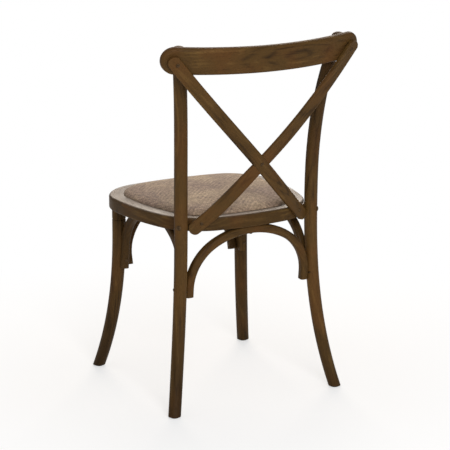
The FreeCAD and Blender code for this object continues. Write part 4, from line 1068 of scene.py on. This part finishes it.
# The picture's side and the point where the camera's axis meets it, in pixels
PICTURE = 450.0
PICTURE_MIDDLE = (230.3, 212.4)

# The floor: half its side, its paper, and the distances over which its glow grows from the least to full
FLOOR_HALF = 12.0
PAPER = (0.93, 0.93, 0.93)
PALE_PAPER = (0.97, 0.97, 0.97)
GLOW_START = 0.42
GLOW_END = 1.15
LEAST_GLOW = 0.55

# The lamps: the point that they face, the place and the side of each, and the colour of the second
LAMP_AIM = Vector((0, 0, 0.5))
KEY_PLACE = Vector((1.0, 3.3, 2.2))
KEY_SIDE = 1.6
SHEEN_PLACE = Vector((-1.5, -2.8, 1.9))
SHEEN_SIDE = 2.2
SHEEN_COLOUR = (1.0, 0.88, 0.76)


def soft_lamp(name, place, side, power, colour=(1.0, 1.0, 1.0)):
    """A square lamp that shines on the chair and that the camera doesn't see."""
    lamp = bpy.data.lights.new(name, "AREA")
    lamp.shape = "SQUARE"
    lamp.size = side
    lamp.energy = power
    lamp.color = colour
    made = bpy.data.objects.new(name, lamp)
    made.location = place
    made.rotation_euler = (LAMP_AIM - place).to_track_quat("-Z", "Y").to_euler()
    made.visible_camera = False
    bpy.context.scene.collection.objects.link(made)


def seen(tree):
    """One for what the camera sees straight, and zero for what lights other things."""
    return tree.nodes.new("ShaderNodeLightPath").outputs["Is Camera Ray"]


def studio_floor():
    """A large square of pale paper, which the camera sees as pure white away from the chair.

    Near the chair it glows less, so that a soft shadow shows on the paper.
    """
    half = FLOOR_HALF
    floor = bpy.data.meshes.new("studio_floor")
    corners = [(-half, -half, 0), (half, -half, 0), (half, half, 0), (-half, half, 0)]
    floor.from_pydata(corners, [], [(0, 1, 2, 3)])
    shader = Shader("studio_paper")
    place = object_place(shader)
    fibre = shader.noise(place, scale=300, detail=2)
    shader.join(shader.mix(fibre, PAPER, PALE_PAPER), shader.surface.inputs["Base Color"])
    shader.surface.inputs["Roughness"].default_value = 0.9
    x, y, _ = shader.split(place)
    distance = shader.vector("LENGTH", shader.combine(x, y, 0.0))
    away = shader.spread(distance, GLOW_START, GLOW_END, LEAST_GLOW, 1.0)
    glow = shader.node("ShaderNodeEmission")
    glow.inputs["Strength"].default_value = 1.0
    both = shader.node("ShaderNodeMixShader")
    shader.join(shader.math("MULTIPLY", seen(shader.tree), away), both.inputs[0])
    shader.join(shader.surface.outputs[0], both.inputs[1])
    shader.join(glow.outputs[0], both.inputs[2])
    shader.join(both.outputs[0], shader.output.inputs["Surface"])
    floor.materials.append(shader.material)
    return bpy.data.objects.new("studio_floor", floor)


def white_surroundings(daylight):
    """Pure white where the camera sees past the chair, and white of the daylight's level otherwise."""
    world = bpy.data.worlds.new("white_surroundings")
    world.use_nodes = True
    tree = world.node_tree
    tree.nodes.clear()
    shown = tree.nodes.new("ShaderNodeBackground")
    lit = tree.nodes.new("ShaderNodeBackground")
    lit.inputs["Strength"].default_value = daylight
    either = tree.nodes.new("ShaderNodeMixShader")
    output = tree.nodes.new("ShaderNodeOutputWorld")
    for node in (shown, lit):
        node.inputs["Color"].default_value = (1, 1, 1, 1)
    tree.links.new(seen(tree), either.inputs[0])
    tree.links.new(lit.outputs[0], either.inputs[1])
    tree.links.new(shown.outputs[0], either.inputs[2])
    tree.links.new(either.outputs[0], output.inputs["Surface"])
    return world


def picture_camera():
    """A camera at its distance back from the aim, with its shifts in shares of the picture."""
    camera = bpy.data.cameras.new("camera")
    camera.sensor_width = SENSOR
    camera.lens = FOCAL_PIXELS / PICTURE * SENSOR
    camera.shift_x = (PICTURE / 2 - PICTURE_MIDDLE[0]) / PICTURE
    camera.shift_y = (PICTURE_MIDDLE[1] - PICTURE / 2) / PICTURE
    camera.clip_end = SIGHT
    viewer = bpy.data.objects.new("camera", camera)
    viewer.location = AIM + BACK * REACH
    viewer.rotation_euler = BACK.to_track_quat("Z", "Y").to_euler()
    return viewer


class CHAIR_OT_studio(Piece):
    """Set up the pale floor, the white surroundings, the soft lamps and the camera"""
    bl_idname = "chair.studio"
    bl_label = "Studio"

    def execute(self, context):
        scene = context.scene
        studio = scene.chair_studio
        scene.view_settings.view_transform = "Standard"
        ground = studio_floor()
        scene.collection.objects.link(ground)
        scene.world = white_surroundings(studio.daylight)
        soft_lamp("camera_light", KEY_PLACE, KEY_SIDE, studio.key)
        soft_lamp("back_light", SHEEN_PLACE, SHEEN_SIDE, studio.sheen, SHEEN_COLOUR)
        viewer = picture_camera()
        scene.collection.objects.link(viewer)
        scene.camera = viewer
        return {"FINISHED"}


class CHAIR_PT_pieces(bpy.types.Panel):
    """The chair's pieces, with the sizes and colours they take"""
    bl_idname = "CHAIR_PT_pieces"
    bl_label = "Cross back chair"
    bl_space_type = "VIEW_3D"
    bl_region_type = "UI"
    bl_category = "Chair"

    def draw(self, context):
        layout = self.layout
        for group in ("chair_wood", "chair_weave", "chair_studio"):
            box = layout.box()
            values = getattr(context.scene, group)
            for name in values.bl_rna.properties.keys():
                if name not in ("rna_type", "name"):
                    box.prop(values, name)
        for operator in OPERATORS:
            layout.operator(operator.bl_idname)


GROUPS = {"chair_wood": ChairWood, "chair_weave": ChairWeave, "chair_studio": ChairStudio}
OPERATORS = (
    CHAIR_OT_legs,
    CHAIR_OT_crest,
    CHAIR_OT_slats,
    CHAIR_OT_ring,
    CHAIR_OT_hoops,
    CHAIR_OT_cover,
    CHAIR_OT_padding,
    CHAIR_OT_board,
    CHAIR_OT_screws,
    CHAIR_OT_glides,
    CHAIR_OT_studio,
)


def register():
    for name, group in GROUPS.items():
        bpy.utils.register_class(group)
        setattr(bpy.types.Scene, name, bpy.props.PointerProperty(type=group))
    for made in (*OPERATORS, CHAIR_PT_pieces):
        bpy.utils.register_class(made)


def unregister():
    for made in reversed((*OPERATORS, CHAIR_PT_pieces)):
        bpy.utils.unregister_class(made)
    for name, group in GROUPS.items():
        delattr(bpy.types.Scene, name)
        bpy.utils.unregister_class(group)


def main():
    register()
    bpy.ops.chair.legs()
    bpy.ops.chair.crest()
    bpy.ops.chair.slats()
    bpy.ops.chair.ring()
    bpy.ops.chair.hoops()
    bpy.ops.chair.cover()
    bpy.ops.chair.padding()
    bpy.ops.chair.board()
    bpy.ops.chair.screws()
    bpy.ops.chair.glides()
    bpy.ops.chair.studio()


if __name__ == "__main__":
    main()
